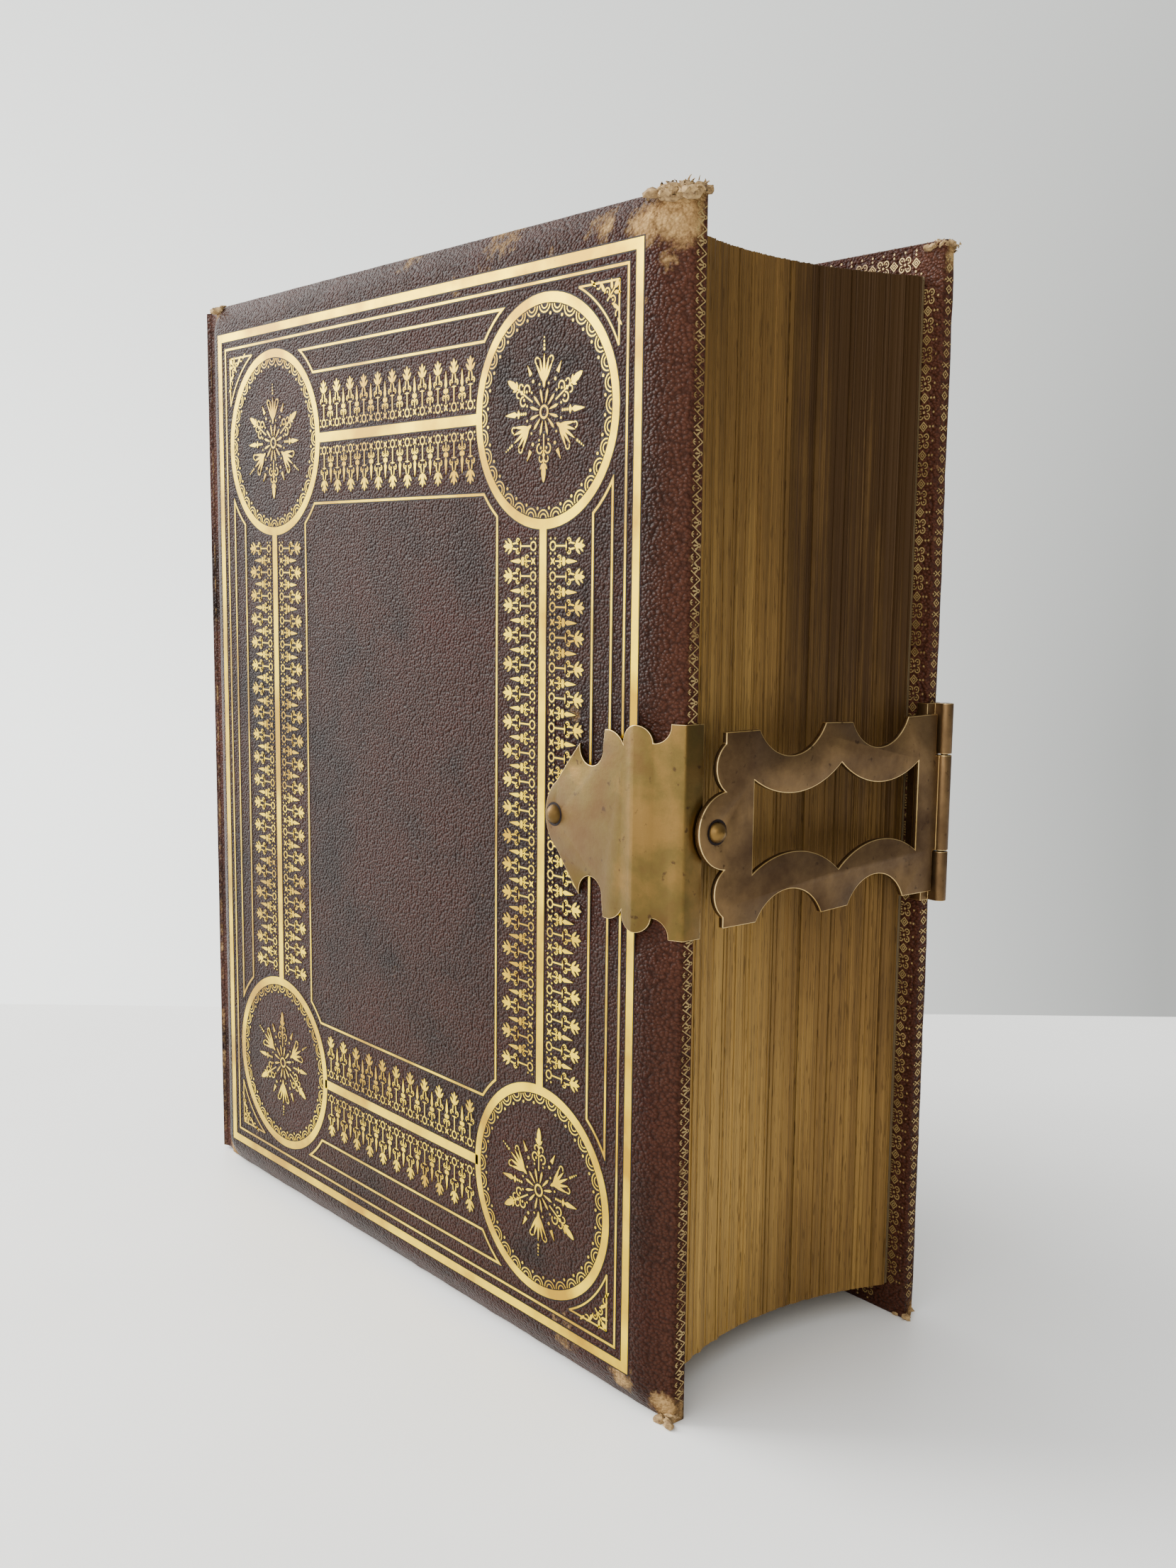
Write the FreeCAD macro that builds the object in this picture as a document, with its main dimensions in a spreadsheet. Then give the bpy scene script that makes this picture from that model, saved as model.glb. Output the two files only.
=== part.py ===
"""A large family Bible: bevelled leather boards, sewn text block, rounded spine and brass fore-edge clasp.

The book stands upright on its tail edges.  X runs from the spine (-X) to the fore-edge (+X), the front
cover faces -Y, and Z is up.  The origin is under the middle of the whole book.  All sizes are millimetres.
"""
import FreeCAD, Part
import os

import Sketcher

# Driving sizes: name, value, and what it measures.
SIZES = [
    ("board_height", 318, "head to tail of a covered board"),
    ("board_width", 252, "spine edge to fore-edge of a covered board"),
    ("board_thick", 9.5, "covered board at its flat panel"),
    ("board_edge", 4.5, "covered board at its edge face, below the bevel"),
    ("bevel_width", 13, "width of the sloping border of a board"),
    ("leather_thick", 1.0, "skin over the boards"),
    ("turn_in", 12, "leather turned over onto the inside of a board"),
    ("paper_thick", 0.3, "pastedowns and endpapers"),
    ("leaf_gap", 0.35, "free space on each side of an endpaper"),
    ("square_head", 9.5, "board standing past the leaves at head and tail"),
    ("square_fore", 6, "board standing past the leaves at the fore-edge"),
    ("leaf_inset", 0.5, "endpapers cut short of the text block"),
    ("leaf_step", 1.0, "root of each outer endpaper nearer the spine than the one under it"),
    ("block_thick", 87.7, "thickness of the sewn text block"),
    ("fore_hollow", 9.5, "depth of the hollow fore-edge"),
    ("back_round", 9.5, "rise of the rounded back"),
    ("joint_width", 4.7, "corner of the back past the boards' spine edges"),
    ("tape_thick", 0.6, "sewing tape"),
    ("tape_width", 16, "sewing tape"),
    ("tape_margin", 50, "middle of the outer tapes from head and tail"),
    ("mull_thick", 0.8, "open cloth glued over the tapes"),
    ("mull_margin", 16, "mull short of head and tail of the boards"),
    ("lining_thick", 0.8, "paper lining over the mull"),
    ("hollow_thick", 1.5, "card of the hollow back"),
    ("hollow_margin", 1.2, "card short of the leather at head and tail"),
    ("band_rise", 3, "raised band strip"),
    ("band_width", 7, "raised band strip"),
    ("band_margin", 46, "middle of the outer bands from head and tail"),
    ("spine_skin", 1.2, "leather over the spine"),
    ("shoulder_half", 50, "half the width that the spine leather spans"),
    ("headband_rad", 1.6, "radius of the sewn end bands"),
    ("pivot_inset", 3.3, "line that a board turns on, from its spine edge"),
    ("pivot_stand", 1.0, "the same line, outside the board's edge face"),
    ("sheet_thick", 1.0, "brass sheet of the two clasp plates"),
    ("sheet_leg", 5.4, "clasp plate bent onto the inside of a board"),
    ("hasp_gap", 0.5, "free space between catch plate and hasp"),
    ("hasp_thick", 1.6, "plate of the hasp"),
    ("barrel_rad", 2.1, "outside of the hinge knuckles"),
    ("barrel_gap", 0.3, "hasp knuckle off the anchor plate"),
    ("knuckle_half", 14, "half the height of the hasp's knuckle"),
    ("knuckle_gap", 0.4, "free space between neighbouring knuckles"),
    ("pin_rad", 1.0, "hinge pin"),
    ("pin_gap", 0.05, "running clearance round the hinge pin"),
    ("clasp_level", 159.5, "height of the clasp's middle"),
    ("catch_half", 27.8, "half the height of the catch plate's wrap"),
    ("anchor_half", 29, "half the height of the anchor plate's wrap"),
    ("rivet_inset", 45.3, "dome rivets from the fore-edge"),
    ("rivet_head", 2.7, "radius of a dome rivet"),
    ("rivet_rise", 2.0, "height of a dome rivet"),
    ("rivet_shank", 1.0, "radius of a rivet's nail"),
    ("rivet_depth", 6, "nail below the plate"),
    ("stud_shank", 1.5, "radius of the catch stud's shank"),
    ("stud_head", 2.8, "radius of the catch stud's knob"),
    ("stud_rise", 2.4, "height of the knob over the hasp"),
    ("stud_reach", 2.3, "shank inside the hasp"),
    ("stud_inset", 4.2, "middle of the stud past the inside of the front board"),
    ("fork_gap", 0.5, "free space round the stud in the catch plate's fork"),
    ("fork_half", 6, "half the height of the fork"),
    ("fork_length", 10.5, "fork past the catch plate's wrap"),
]
GATHERING_GROUPS = 8
TAPES = 4
BANDS = 5

doc = FreeCAD.newDocument("family_bible")
dims = doc.addObject("Spreadsheet::Sheet", "Dims")
for row, (alias, number, meaning) in enumerate(SIZES, start=1):
    dims.set(f"A{row}", str(number))
    dims.setAlias(f"A{row}", alias)
    dims.set(f"B{row}", meaning)
doc.recompute()

# Places worked out from the driving sizes, as expressions on the sheet.
BARREL_STAND = "(Dims.sheet_thick + Dims.barrel_gap + 2 * Dims.barrel_rad)"
SPINE_STACK = "(Dims.mull_thick + Dims.lining_thick + Dims.hollow_thick + Dims.band_rise + Dims.spine_skin)"
BACK_STAND = f"(Dims.joint_width + Dims.back_round + {SPINE_STACK})"
FORE = f"((Dims.board_width + {BACK_STAND} - {BARREL_STAND}) / 2)"
HINGE_EDGE = f"({FORE} - Dims.board_width)"
BLOCK_HALF = "(Dims.block_thick / 2)"
INNER = f"({BLOCK_HALF} + 2 * Dims.paper_thick + 3 * Dims.leaf_gap)"
EDGE = f"({INNER} + Dims.board_edge)"
FACE = f"({INNER} + Dims.board_thick)"
HEAD = "(Dims.board_height - Dims.square_head)"
TAIL = "Dims.square_head"
LEAF_FORE = f"({FORE} - Dims.square_fore)"
BACK_CORNER = f"({HINGE_EDGE} - Dims.joint_width)"
BACK_RAD = f"(({BLOCK_HALF}^2 + Dims.back_round^2) / (2 * Dims.back_round))"
BACK_CENTRE = f"({BACK_CORNER} - Dims.back_round + {BACK_RAD})"
BACK_ANGLE = f"asin({BLOCK_HALF} / {BACK_RAD})"
FORE_RAD = f"(({BLOCK_HALF}^2 + Dims.fore_hollow^2) / (2 * Dims.fore_hollow))"
LEVEL = "Dims.clasp_level"
HASP_X = f"({FORE} + Dims.sheet_thick + Dims.hasp_gap)"
PIN_X = f"({FORE} + {BARREL_STAND} - Dims.barrel_rad)"
BEVEL_DROP = "(Dims.board_thick - Dims.board_edge)"
BEVEL_SLANT = f"sqrt(Dims.bevel_width^2 + {BEVEL_DROP}^2)"

FRONT, BACK = -1, 1
Z_AXIS = FreeCAD.Vector(0, 0, 1)
UPRIGHT = FreeCAD.Rotation()
ALONG_X = FreeCAD.Rotation(FreeCAD.Vector(0, 1, 0), 90)
ALONG_Y = FreeCAD.Rotation(FreeCAD.Vector(1, 0, 0), -90)
nodes = []


def value(expression):
    """The number that an expression on the sheet has now."""
    return float(dims.evalExpression(expression))


def bind(thing, **expressions):
    """Binds properties of an object to expressions on the sheet."""
    for name, expression in expressions.items():
        thing.setExpression(name, str(expression))


def place(thing, x="0", y="0", z="0", turn=UPRIGHT):
    """Binds an object's place to the sheet, with a fixed turn."""
    thing.Placement = FreeCAD.Placement(FreeCAD.Vector(value(x), value(y), value(z)), turn)
    thing.setExpression("Placement.Base.x", x)
    thing.setExpression("Placement.Base.y", y)
    thing.setExpression("Placement.Base.z", z)


def node(thing, label):
    """Marks an object as one finished piece of the book."""
    thing.Label = label
    nodes.append(thing)
    return thing


def sided(side, near, far):
    """Low and high ends of a depth range on the front or back half of the book."""
    if side == BACK:
        return near, far
    return f"-({far})", f"-({near})"


def box(name, x, y, z):
    """A box between (low, high) expressions along each axis."""
    solid = doc.addObject("Part::Box", name)
    bind(solid, Length=f"{x[1]} - ({x[0]})", Width=f"{y[1]} - ({y[0]})", Height=f"{z[1]} - ({z[0]})")
    place(solid, x[0], y[0], z[0])
    return solid


def bar(name, radius, length, x, y, z, turn=UPRIGHT):
    """A round bar that starts at a point and runs along its turned Z axis."""
    solid = doc.addObject("Part::Cylinder", name)
    bind(solid, Radius=radius, Height=length)
    place(solid, x, y, z, turn)
    return solid


def cut(name, base, *tools):
    """Base with the tools taken away."""
    solid = doc.addObject("Part::Cut", name)
    solid.Base = base
    solid.Tool = tools[0] if len(tools) == 1 else fuse(name + "_tools", *tools)
    return solid


def fuse(name, *solids):
    """Several solids joined, or grouped where they stand apart."""
    joined = doc.addObject("Part::MultiFuse", name)
    joined.Shapes = list(solids)
    return joined


def common(name, first, second):
    """What two solids share."""
    solid = doc.addObject("Part::Common", name)
    solid.Base = first
    solid.Tool = second
    return solid


def pin_point(sketch, geometry, corner, point):
    """Holds one point of a sketch at two distances bound to the sheet."""
    for kind, expression in zip(("DistanceX", "DistanceY"), point):
        held = Sketcher.Constraint(kind, -1, 1, geometry, corner, value(expression))
        sketch.setExpression(f"Constraints[{sketch.addConstraint(held)}]", expression)


def vector(point):
    """A sketch point as numbers."""
    return FreeCAD.Vector(value(point[0]), value(point[1]), 0)


def draw_loop(sketch, start, steps):
    """Draws a closed loop.  Each step is (via, end): a line where via is None, else an arc through via."""
    here = start
    first = None
    last = None
    for via, end in steps:
        ends = (1, 2)
        if via is None:
            edge = sketch.addGeometry(Part.LineSegment(vector(here), vector(end)))
        else:
            ahead = vector(via) - vector(here)
            turn = ahead.cross(vector(end) - vector(via)).z
            if turn > 0:
                arc = Part.Arc(vector(here), vector(via), vector(end))
            else:
                arc = Part.Arc(vector(end), vector(via), vector(here))
                ends = (2, 1)
            edge = sketch.addGeometry(arc)
            middle = sketch.addGeometry(Part.Point(vector(via)), True)
            sketch.addConstraint(Sketcher.Constraint("PointOnObject", middle, 1, edge))
            pin_point(sketch, middle, 1, via)
        if last is None:
            first = (edge, ends[0])
        else:
            sketch.addConstraint(Sketcher.Constraint("Coincident", last[0], last[1], edge, ends[0]))
        pin_point(sketch, edge, ends[1], end)
        last = (edge, ends[1])
        here = end
    sketch.addConstraint(Sketcher.Constraint("Coincident", last[0], last[1], first[0], first[1]))


def sketched(name, plane, offset="0"):
    """A body with an empty sketch on one of its origin planes, moved along the plane's normal."""
    body = doc.addObject("PartDesign::Body", name)
    sketch = body.newObject("Sketcher::SketchObject", name + "_outline")
    support = [face for face in body.Origin.OriginFeatures if face.Role == plane][0]
    sketch.AttachmentSupport = [(support, "")]
    sketch.MapMode = "FlatFace"
    sketch.setExpression("AttachmentOffset.Base.z", offset)
    return body, sketch


def pad(body, sketch, length, midplane=False):
    """Pads a sketch to a length bound to the sheet."""
    feature = body.newObject("PartDesign::Pad", body.Name + "_pad")
    feature.Profile = sketch
    feature.Midplane = midplane
    bind(feature, Length=length)
    sketch.Visibility = False
    return body


def revolve(body, sketch):
    """Turns a half profile a full turn about the sketch's upright axis."""
    feature = body.newObject("PartDesign::Revolution", body.Name + "_turned")
    feature.Profile = sketch
    feature.ReferenceAxis = (sketch, ["V_Axis"])
    feature.Angle = 360
    sketch.Visibility = False
    return body


def mirrored_loop(half, closing):
    """A loop from its upper half: (via, point) steps in (along, rise) pairs, mirrored in the clasp's middle.

    The first step gives only the start.  closing is the via point that joins the two halves at the start,
    or None for a straight join.
    """
    def above(pair):
        return pair[0], f"{LEVEL} + {pair[1]}"

    def below(pair):
        return pair[0], f"{LEVEL} - ({pair[1]})"

    steps = [(via and above(via), above(point)) for via, point in half[1:]]
    steps.append((None, below(half[-1][1])))
    for (via, _), (_, previous) in zip(half[:0:-1], half[-2::-1]):
        steps.append((via and below(via), below(previous)))
    steps.append((closing and above(closing), above(half[0][1])))
    return above(half[0][1]), steps


# ---- boards and their covering ----


def board_blank(name, side, inset):
    """A bevelled slab: a plain edge part and a sloping part, set in from the covered board by inset."""
    fore = f"({FORE} - {inset})"
    spine = f"({HINGE_EDGE} + {inset})"
    head = f"(Dims.board_height - {inset})"
    slope_in = f"(Dims.bevel_width - {inset} / 2)"
    shoulder = f"({EDGE} - {inset} / 2)"
    low, high = sided(side, f"({INNER} + {inset})", shoulder)
    slab = box(name + "_slab", (spine, fore), (low, high), (inset, head))
    low, high = sided(side, shoulder, f"({FACE} - {inset})")
    slope = doc.addObject("Part::Wedge", name + "_slope")
    wide = (spine, fore, inset, head)
    narrow = (f"{spine} + {slope_in}", f"{fore} - {slope_in}")
    narrow += (f"{inset} + {slope_in}", f"{head} - {slope_in}")
    at_low, at_high = (wide, narrow) if side == BACK else (narrow, wide)
    bind(slope, Ymin=low, Ymax=high, Xmin=at_low[0], Xmax=at_low[1], Zmin=at_low[2], Zmax=at_low[3])
    bind(slope, X2min=at_high[0], X2max=at_high[1], Z2min=at_high[2], Z2max=at_high[3])
    return fuse(name, slab, slope)


def panel(name, side, near, far):
    """A sheet inside the turned-in leather of a board."""
    along = (f"({HINGE_EDGE} + Dims.turn_in)", f"({FORE} - Dims.turn_in)")
    return box(name, along, sided(side, near, far), ("Dims.turn_in", "(Dims.board_height - Dims.turn_in)"))


def nail_hole(name, side):
    """The hole that a dome rivet's nail makes through plate, leather and board."""
    top = f"({FACE} + Dims.sheet_thick)"
    low = f"({top} - Dims.rivet_depth)" if side == BACK else f"-{top}"
    x = f"({FORE} - Dims.rivet_inset)"
    return bar(name, "Dims.rivet_shank", "Dims.rivet_depth", x, low, LEVEL, ALONG_Y)


def make_cover(word, side):
    """The board, its leather, the infill between the turn-ins and the pastedown over it."""
    core = board_blank(word + "_core", side, "Dims.leather_thick")
    node(cut(word + "_board_cut", core, nail_hole(word + "_board_hole", side)), word + "_board")
    skin = board_blank(word + "_skin", side, "0")
    filling = board_blank(word + "_filling", side, "Dims.leather_thick")
    window = panel(word + "_window", side, INNER, f"({INNER} + Dims.leather_thick)")
    hole = nail_hole(word + "_leather_hole", side)
    node(cut(word + "_leather_cut", skin, filling, window, hole), word + "_leather")
    over_paper = f"({INNER} + Dims.paper_thick)"
    infill = panel(word + "_infill_box", side, over_paper, f"({INNER} + Dims.leather_thick)")
    node(infill, word + "_infill")
    node(panel(word + "_pastedown_box", side, INNER, over_paper), word + "_pastedown")


def make_leaf(name, side, order):
    """A loose endpaper; order counts leaves from the text block, and each root lies a step further out."""
    near = f"({BLOCK_HALF} + {order} * Dims.paper_thick + ({order} + 1) * Dims.leaf_gap)"
    depth = sided(side, near, f"({near} + Dims.paper_thick)")
    width = (f"({HINGE_EDGE} - {order} * Dims.leaf_step)", f"({LEAF_FORE} - Dims.leaf_inset)")
    node(box(name + "_sheet", width, depth, (TAIL, HEAD)), name)


# ---- text block ----


def fore_x(depth):
    """Where the hollow fore-edge lies at a depth."""
    return f"({LEAF_FORE} - Dims.fore_hollow + {FORE_RAD} - sqrt({FORE_RAD}^2 - ({depth})^2))"


def back_x(depth):
    """Where the rounded back lies at a depth."""
    return f"({BACK_CENTRE} - sqrt({BACK_RAD}^2 - ({depth})^2))"


def make_gatherings(index):
    """One group of sewn gatherings, with its share of the hollow fore-edge and the rounded back."""
    low = f"(-{BLOCK_HALF} + {index} * Dims.block_thick / {GATHERING_GROUPS})"
    high = f"(-{BLOCK_HALF} + {index + 1} * Dims.block_thick / {GATHERING_GROUPS})"
    middle = f"(-{BLOCK_HALF} + {index + 0.5} * Dims.block_thick / {GATHERING_GROUPS})"
    name = f"gathering_group_{index + 1}"
    body, sketch = sketched(name + "_body", "XY_Plane", TAIL)
    steps = [
        (None, (fore_x(low), low)),
        ((fore_x(middle), middle), (fore_x(high), high)),
        (None, (back_x(high), high)),
        ((back_x(middle), middle), (back_x(low), low)),
    ]
    draw_loop(sketch, (back_x(low), low), steps)
    node(pad(body, sketch, f"({HEAD} - {TAIL})"), name)


# ---- spine ----


def curved_strip(name, inner, outer, half_angle, low, high):
    """A strip bent round the back of the book: part of a ring between two radii."""
    rings = []
    for word, radius in (("outer", outer), ("inner", inner)):
        ring = bar(f"{name}_{word}", radius, f"({high}) - ({low})", BACK_CENTRE, "0", low)
        bind(ring, Angle=f"2 * {half_angle}")
        ring.Placement.Rotation = FreeCAD.Rotation(Z_AXIS, 180 - value(half_angle))
        rings.append(ring)
    return cut(name, *rings)


def spread(count, index, margin):
    """Height of one of several pieces spread evenly between two margins."""
    return f"({margin} + {index} * (Dims.board_height - 2 * {margin}) / {count - 1})"


def ring_set(name, count, margin, width, inner, outer, half_angle):
    """Equal strips across the back at even heights."""
    strips = []
    for index in range(count):
        middle = spread(count, index, margin)
        ends = (f"({middle} - {width} / 2)", f"({middle} + {width} / 2)")
        strips.append(curved_strip(f"{name}_{index + 1}", inner, outer, half_angle, *ends))
    return fuse(name, *strips)


def make_spine():
    """Tapes, mull, lining, card hollow, band strips and leather, from the sewn back outwards."""
    over_tape = f"({BACK_RAD} + Dims.tape_thick)"
    over_mull = f"({BACK_RAD} + Dims.mull_thick)"
    over_lining = f"({over_mull} + Dims.lining_thick)"
    over_card = f"({over_lining} + Dims.hollow_thick)"
    over_band = f"({over_card} + Dims.band_rise)"
    skin = f"({over_card} + Dims.spine_skin)"
    whole = BACK_ANGLE
    tapes = ring_set("tape_strips", TAPES, "Dims.tape_margin", "Dims.tape_width", BACK_RAD, over_tape, whole)
    node(tapes, "sewing_tapes")
    cloth_ends = ("Dims.mull_margin", "(Dims.board_height - Dims.mull_margin)")
    cloth = curved_strip("mull_cloth", BACK_RAD, over_mull, whole, *cloth_ends)
    node(cut("mull_cut", cloth, tapes), "mull")
    node(curved_strip("lining_paper", over_mull, over_lining, whole, TAIL, HEAD), "spine_lining")
    card_ends = ("Dims.hollow_margin", "(Dims.board_height - Dims.hollow_margin)")
    node(curved_strip("hollow_card", over_lining, over_card, whole, *card_ends), "hollow_back")
    bands = ring_set("band_strips", BANDS, "Dims.band_margin", "Dims.band_width", over_card, over_band, whole)
    node(bands, "raised_bands")
    shoulder = f"asin(Dims.shoulder_half / {skin})"
    ends = ("0", "Dims.board_height")
    sheet = curved_strip("spine_sheet", over_card, skin, shoulder, *ends)
    ridge_width = "(Dims.band_width + 2 * Dims.spine_skin)"
    over_skin = f"({over_band} + Dims.spine_skin)"
    ridges = ring_set("spine_ridges", BANDS, "Dims.band_margin", ridge_width, over_card, over_skin, whole)
    node(cut("spine_leather_cut", fuse("spine_moulded", sheet, ridges), bands), "spine_leather")


def make_end_band(name, seat, side):
    """A sewn band lying on the back edge of the leaves at head or tail."""
    band = doc.addObject("Part::Torus", name + "_roll")
    bind(band, Radius1=f"{BACK_RAD} - Dims.headband_rad", Radius2="Dims.headband_rad")
    bind(band, Angle3=f"2 * {BACK_ANGLE}")
    place(band, BACK_CENTRE, "0", f"({seat} + ({side}) * Dims.headband_rad)")
    band.Placement.Rotation = FreeCAD.Rotation(Z_AXIS, 180 - value(BACK_ANGLE))
    node(band, name)


# ---- clasp ----


def plate_outline(name, wrap_half):
    """The scrolled silhouette of a clasp plate, as a long block through the book."""
    def at(inset, rise):
        return f"({FORE} - ({inset}))", rise

    half = [
        (None, at(44, 9.5)),
        (at(40, 14.4), at(34.5, 20.5)),
        (at(29.4, 14.9), at(25, 20)),
        (None, at(24.4, 24.9)),
        (at(19.8, 24.3), at(17, 21.8)),
        (at(12.1, 27), at(7.7, 22.6)),
        (at(4.8, 23.6), at(3, wrap_half)),
        (None, at(-4, wrap_half)),
    ]
    body, sketch = sketched(name + "_silhouette", "XZ_Plane")
    start, steps = mirrored_loop(half, at(49.1, 0))
    draw_loop(sketch, start, steps)
    return pad(body, sketch, f"3 * ({FACE})", midplane=True)


def plate_section(name, side, wrap_half):
    """Sheet bent over a board: on the panel, down the bevel, round the edge and onto the inside."""
    def at(x, y):
        return x, (y if side == BACK else f"-({y})")

    sheet = "Dims.sheet_thick"
    lean = f"({BEVEL_DROP} / {BEVEL_SLANT})"
    stand = f"(Dims.bevel_width / {BEVEL_SLANT})"
    past_tip = f"({FORE} - 60)"
    bevel_top = f"({FORE} - Dims.bevel_width)"
    leg = f"({FORE} - Dims.sheet_leg)"
    outer = f"({FORE} + {sheet})"
    steps = [
        (None, at(bevel_top, FACE)),
        (None, at(FORE, EDGE)),
        (None, at(FORE, INNER)),
        (None, at(leg, INNER)),
        (None, at(leg, f"({INNER} - {sheet})")),
        (None, at(outer, f"({INNER} - {sheet})")),
        (None, at(outer, EDGE)),
        (at(f"({FORE} + 0.824 * {sheet})", f"({EDGE} + 0.567 * {sheet})"),
         at(f"({FORE} + {lean} * {sheet})", f"({EDGE} + {stand} * {sheet})")),
        (None, at(f"({bevel_top} + {lean} * {sheet} / 2)", f"({FACE} + {sheet})")),
        (None, at(past_tip, f"({FACE} + {sheet})")),
        (None, at(past_tip, FACE)),
    ]
    body, sketch = sketched(name + "_section", "XY_Plane", LEVEL)
    draw_loop(sketch, at(past_tip, FACE), steps)
    return pad(body, sketch, f"2 * {wrap_half} + 10", midplane=True)


def bent_plate(name, side, wrap_half):
    """A clasp plate: the bent sheet trimmed to its scrolled outline, with its rivet hole."""
    plate = common(name + "_bent", plate_section(name, side, wrap_half), plate_outline(name, wrap_half))
    return cut(name + "_drilled", plate, nail_hole(name + "_hole", side))


def along(share):
    """A place along the hasp, as a share of the way from the front face to the hinge pin."""
    return f"(-({FACE}) + {share} * ({FACE} + {EDGE}))"


STUD_Y = f"(Dims.stud_inset - {INNER})"


def make_catch_plate():
    """The catch plate on the front board, with the open fork that the hasp's stud drops into."""
    plate = bent_plate("catch", FRONT, "Dims.catch_half")
    wrap_end = f"-({INNER} - Dims.sheet_thick)"
    x = (FORE, f"({FORE} + Dims.sheet_thick)")
    z = (f"({LEVEL} - Dims.fork_half)", f"({LEVEL} + Dims.fork_half)")
    tongue = box("catch_tongue", x, (wrap_end, f"({wrap_end} + Dims.fork_length)"), z)
    slot_half = "(Dims.stud_shank + Dims.fork_gap)"
    slot_z = (f"({LEVEL} - {slot_half})", f"({LEVEL} + {slot_half})")
    slot_y = (STUD_Y, f"({wrap_end} + Dims.fork_length + 1)")
    slot = box("catch_slot", (f"({x[0]} - 1)", f"({x[1]} + 1)"), slot_y, slot_z)
    seat = bar("catch_seat", slot_half, "Dims.sheet_thick + 2", f"({x[0]} - 1)", STUD_Y, LEVEL, ALONG_X)
    node(fuse("catch_joined", plate, cut("catch_fork", tongue, slot, seat)), "catch_plate")


def knuckle(name, low, high, web_low, web_high):
    """A barrel of the hinge with the web that joins it to its plate."""
    barrel = bar(name + "_barrel", "Dims.barrel_rad", f"({high}) - ({low})", PIN_X, EDGE, low)
    return fuse(name, barrel, box(name + "_web", web_low, web_high, (low, high)))


def pin_bore(name):
    """The hole for the hinge pin through every knuckle."""
    low = f"({LEVEL} - Dims.anchor_half - 1)"
    return bar(name, "Dims.pin_rad + Dims.pin_gap", "2 * Dims.anchor_half + 2", PIN_X, EDGE, low)


def make_anchor_plate():
    """The anchor plate on the back board, with the two outer knuckles."""
    plate = bent_plate("anchor", BACK, "Dims.anchor_half")
    inner_end = "(Dims.knuckle_half + Dims.knuckle_gap)"
    web_x = (FORE, PIN_X)
    web_y = (f"({EDGE} - Dims.barrel_rad)", EDGE)
    upper = (f"({LEVEL} + {inner_end})", f"({LEVEL} + Dims.anchor_half)")
    lower = (f"({LEVEL} - Dims.anchor_half)", f"({LEVEL} - {inner_end})")
    first = knuckle("anchor_knuckle_1", *upper, web_x, web_y)
    second = knuckle("anchor_knuckle_2", *lower, web_x, web_y)
    joined = fuse("anchor_joined", plate, first, second)
    node(cut("anchor_bored", joined, pin_bore("anchor_bore")), "anchor_plate")


def make_hasp():
    """The open-work hasp with its middle knuckle, and the stud riveted into its front lobe."""
    def at(share, rise):
        return along(share), rise

    frame_half = [
        (None, at(0.157, 10.2)),
        (at(0.126, 16.4), at(0.157, 22.6)),
        (None, at(0.157, 25.5)),
        (None, at(0.273, 25.5)),
        (at(0.391, 18), at(0.515, 26.1)),
        (None, at(0.619, 25.6)),
        (at(0.733, 18), at(0.844, 25.9)),
        (None, at(0.968, 26)),
    ]
    window_half = [
        (None, at(0.257, 12.4)),
        (at(0.410, 7.9), at(0.579, 14.8)),
        (at(0.740, 8.1), at(0.893, 12.9)),
    ]
    body, sketch = sketched("hasp_frame", "YZ_Plane", HASP_X)
    for half, closing in ((frame_half, at(0.0705, 0)), (window_half, None)):
        start, steps = mirrored_loop(half, closing)
        draw_loop(sketch, start, steps)
    frame = pad(body, sketch, "Dims.hasp_thick")
    ends = (f"({LEVEL} - Dims.knuckle_half)", f"({LEVEL} + Dims.knuckle_half)")
    web_x = (HASP_X, f"({HASP_X} + Dims.hasp_thick)")
    barrel = knuckle("hasp_knuckle", *ends, web_x, (along(0.95), EDGE))
    reach = "Dims.hasp_thick + 2"
    hole = bar("hasp_stud_hole", "Dims.stud_shank", reach, f"({HASP_X} - 1)", STUD_Y, LEVEL, ALONG_X)
    node(cut("hasp_bored", fuse("hasp_joined", frame, barrel), pin_bore("hasp_bore"), hole), "hasp")


def turned_knob(name, shank, depth, head, rise):
    """A domed head on a round shank, turned about its own upright axis."""
    body, sketch = sketched(name + "_turned", "XY_Plane")
    dome = f"(({head}^2 + {rise}^2) / (2 * {rise}))"
    crown = (f"{head} / 2", f"({rise} - {dome} + sqrt({dome}^2 - ({head} / 2)^2))")
    steps = [
        (None, (shank, f"-({depth})")),
        (None, (shank, "0")),
        (None, (head, "0")),
        (crown, ("0", rise)),
        (None, ("0", f"-({depth})")),
    ]
    draw_loop(sketch, ("0", f"-({depth})"), steps)
    return revolve(body, sketch)


def make_rivet(name, side):
    """A dome rivet that holds the tip of a clasp plate."""
    knob = turned_knob(name, "Dims.rivet_shank", "Dims.rivet_depth", "Dims.rivet_head", "Dims.rivet_rise")
    top = f"({FACE} + Dims.sheet_thick)"
    turn = UPRIGHT if side == BACK else FreeCAD.Rotation(Z_AXIS, 180)
    place(knob, f"({FORE} - Dims.rivet_inset)", top if side == BACK else f"-{top}", LEVEL, turn)
    node(knob, name)


def make_stud():
    """The catch stud: a knob outside the hasp and a shank that drops into the catch plate's fork."""
    depth = "(Dims.hasp_thick + Dims.stud_reach)"
    knob = turned_knob("catch_stud", "Dims.stud_shank", depth, "Dims.stud_head", "Dims.stud_rise")
    place(knob, f"({HASP_X} + Dims.hasp_thick)", STUD_Y, LEVEL, FreeCAD.Rotation(Z_AXIS, -90))
    node(knob, "catch_stud")


def make_hinge_pin():
    """The pin through all three knuckles."""
    low = f"({LEVEL} - Dims.anchor_half)"
    node(bar("pin_rod", "Dims.pin_rad", "2 * Dims.anchor_half", PIN_X, EDGE, low), "hinge_pin")


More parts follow.
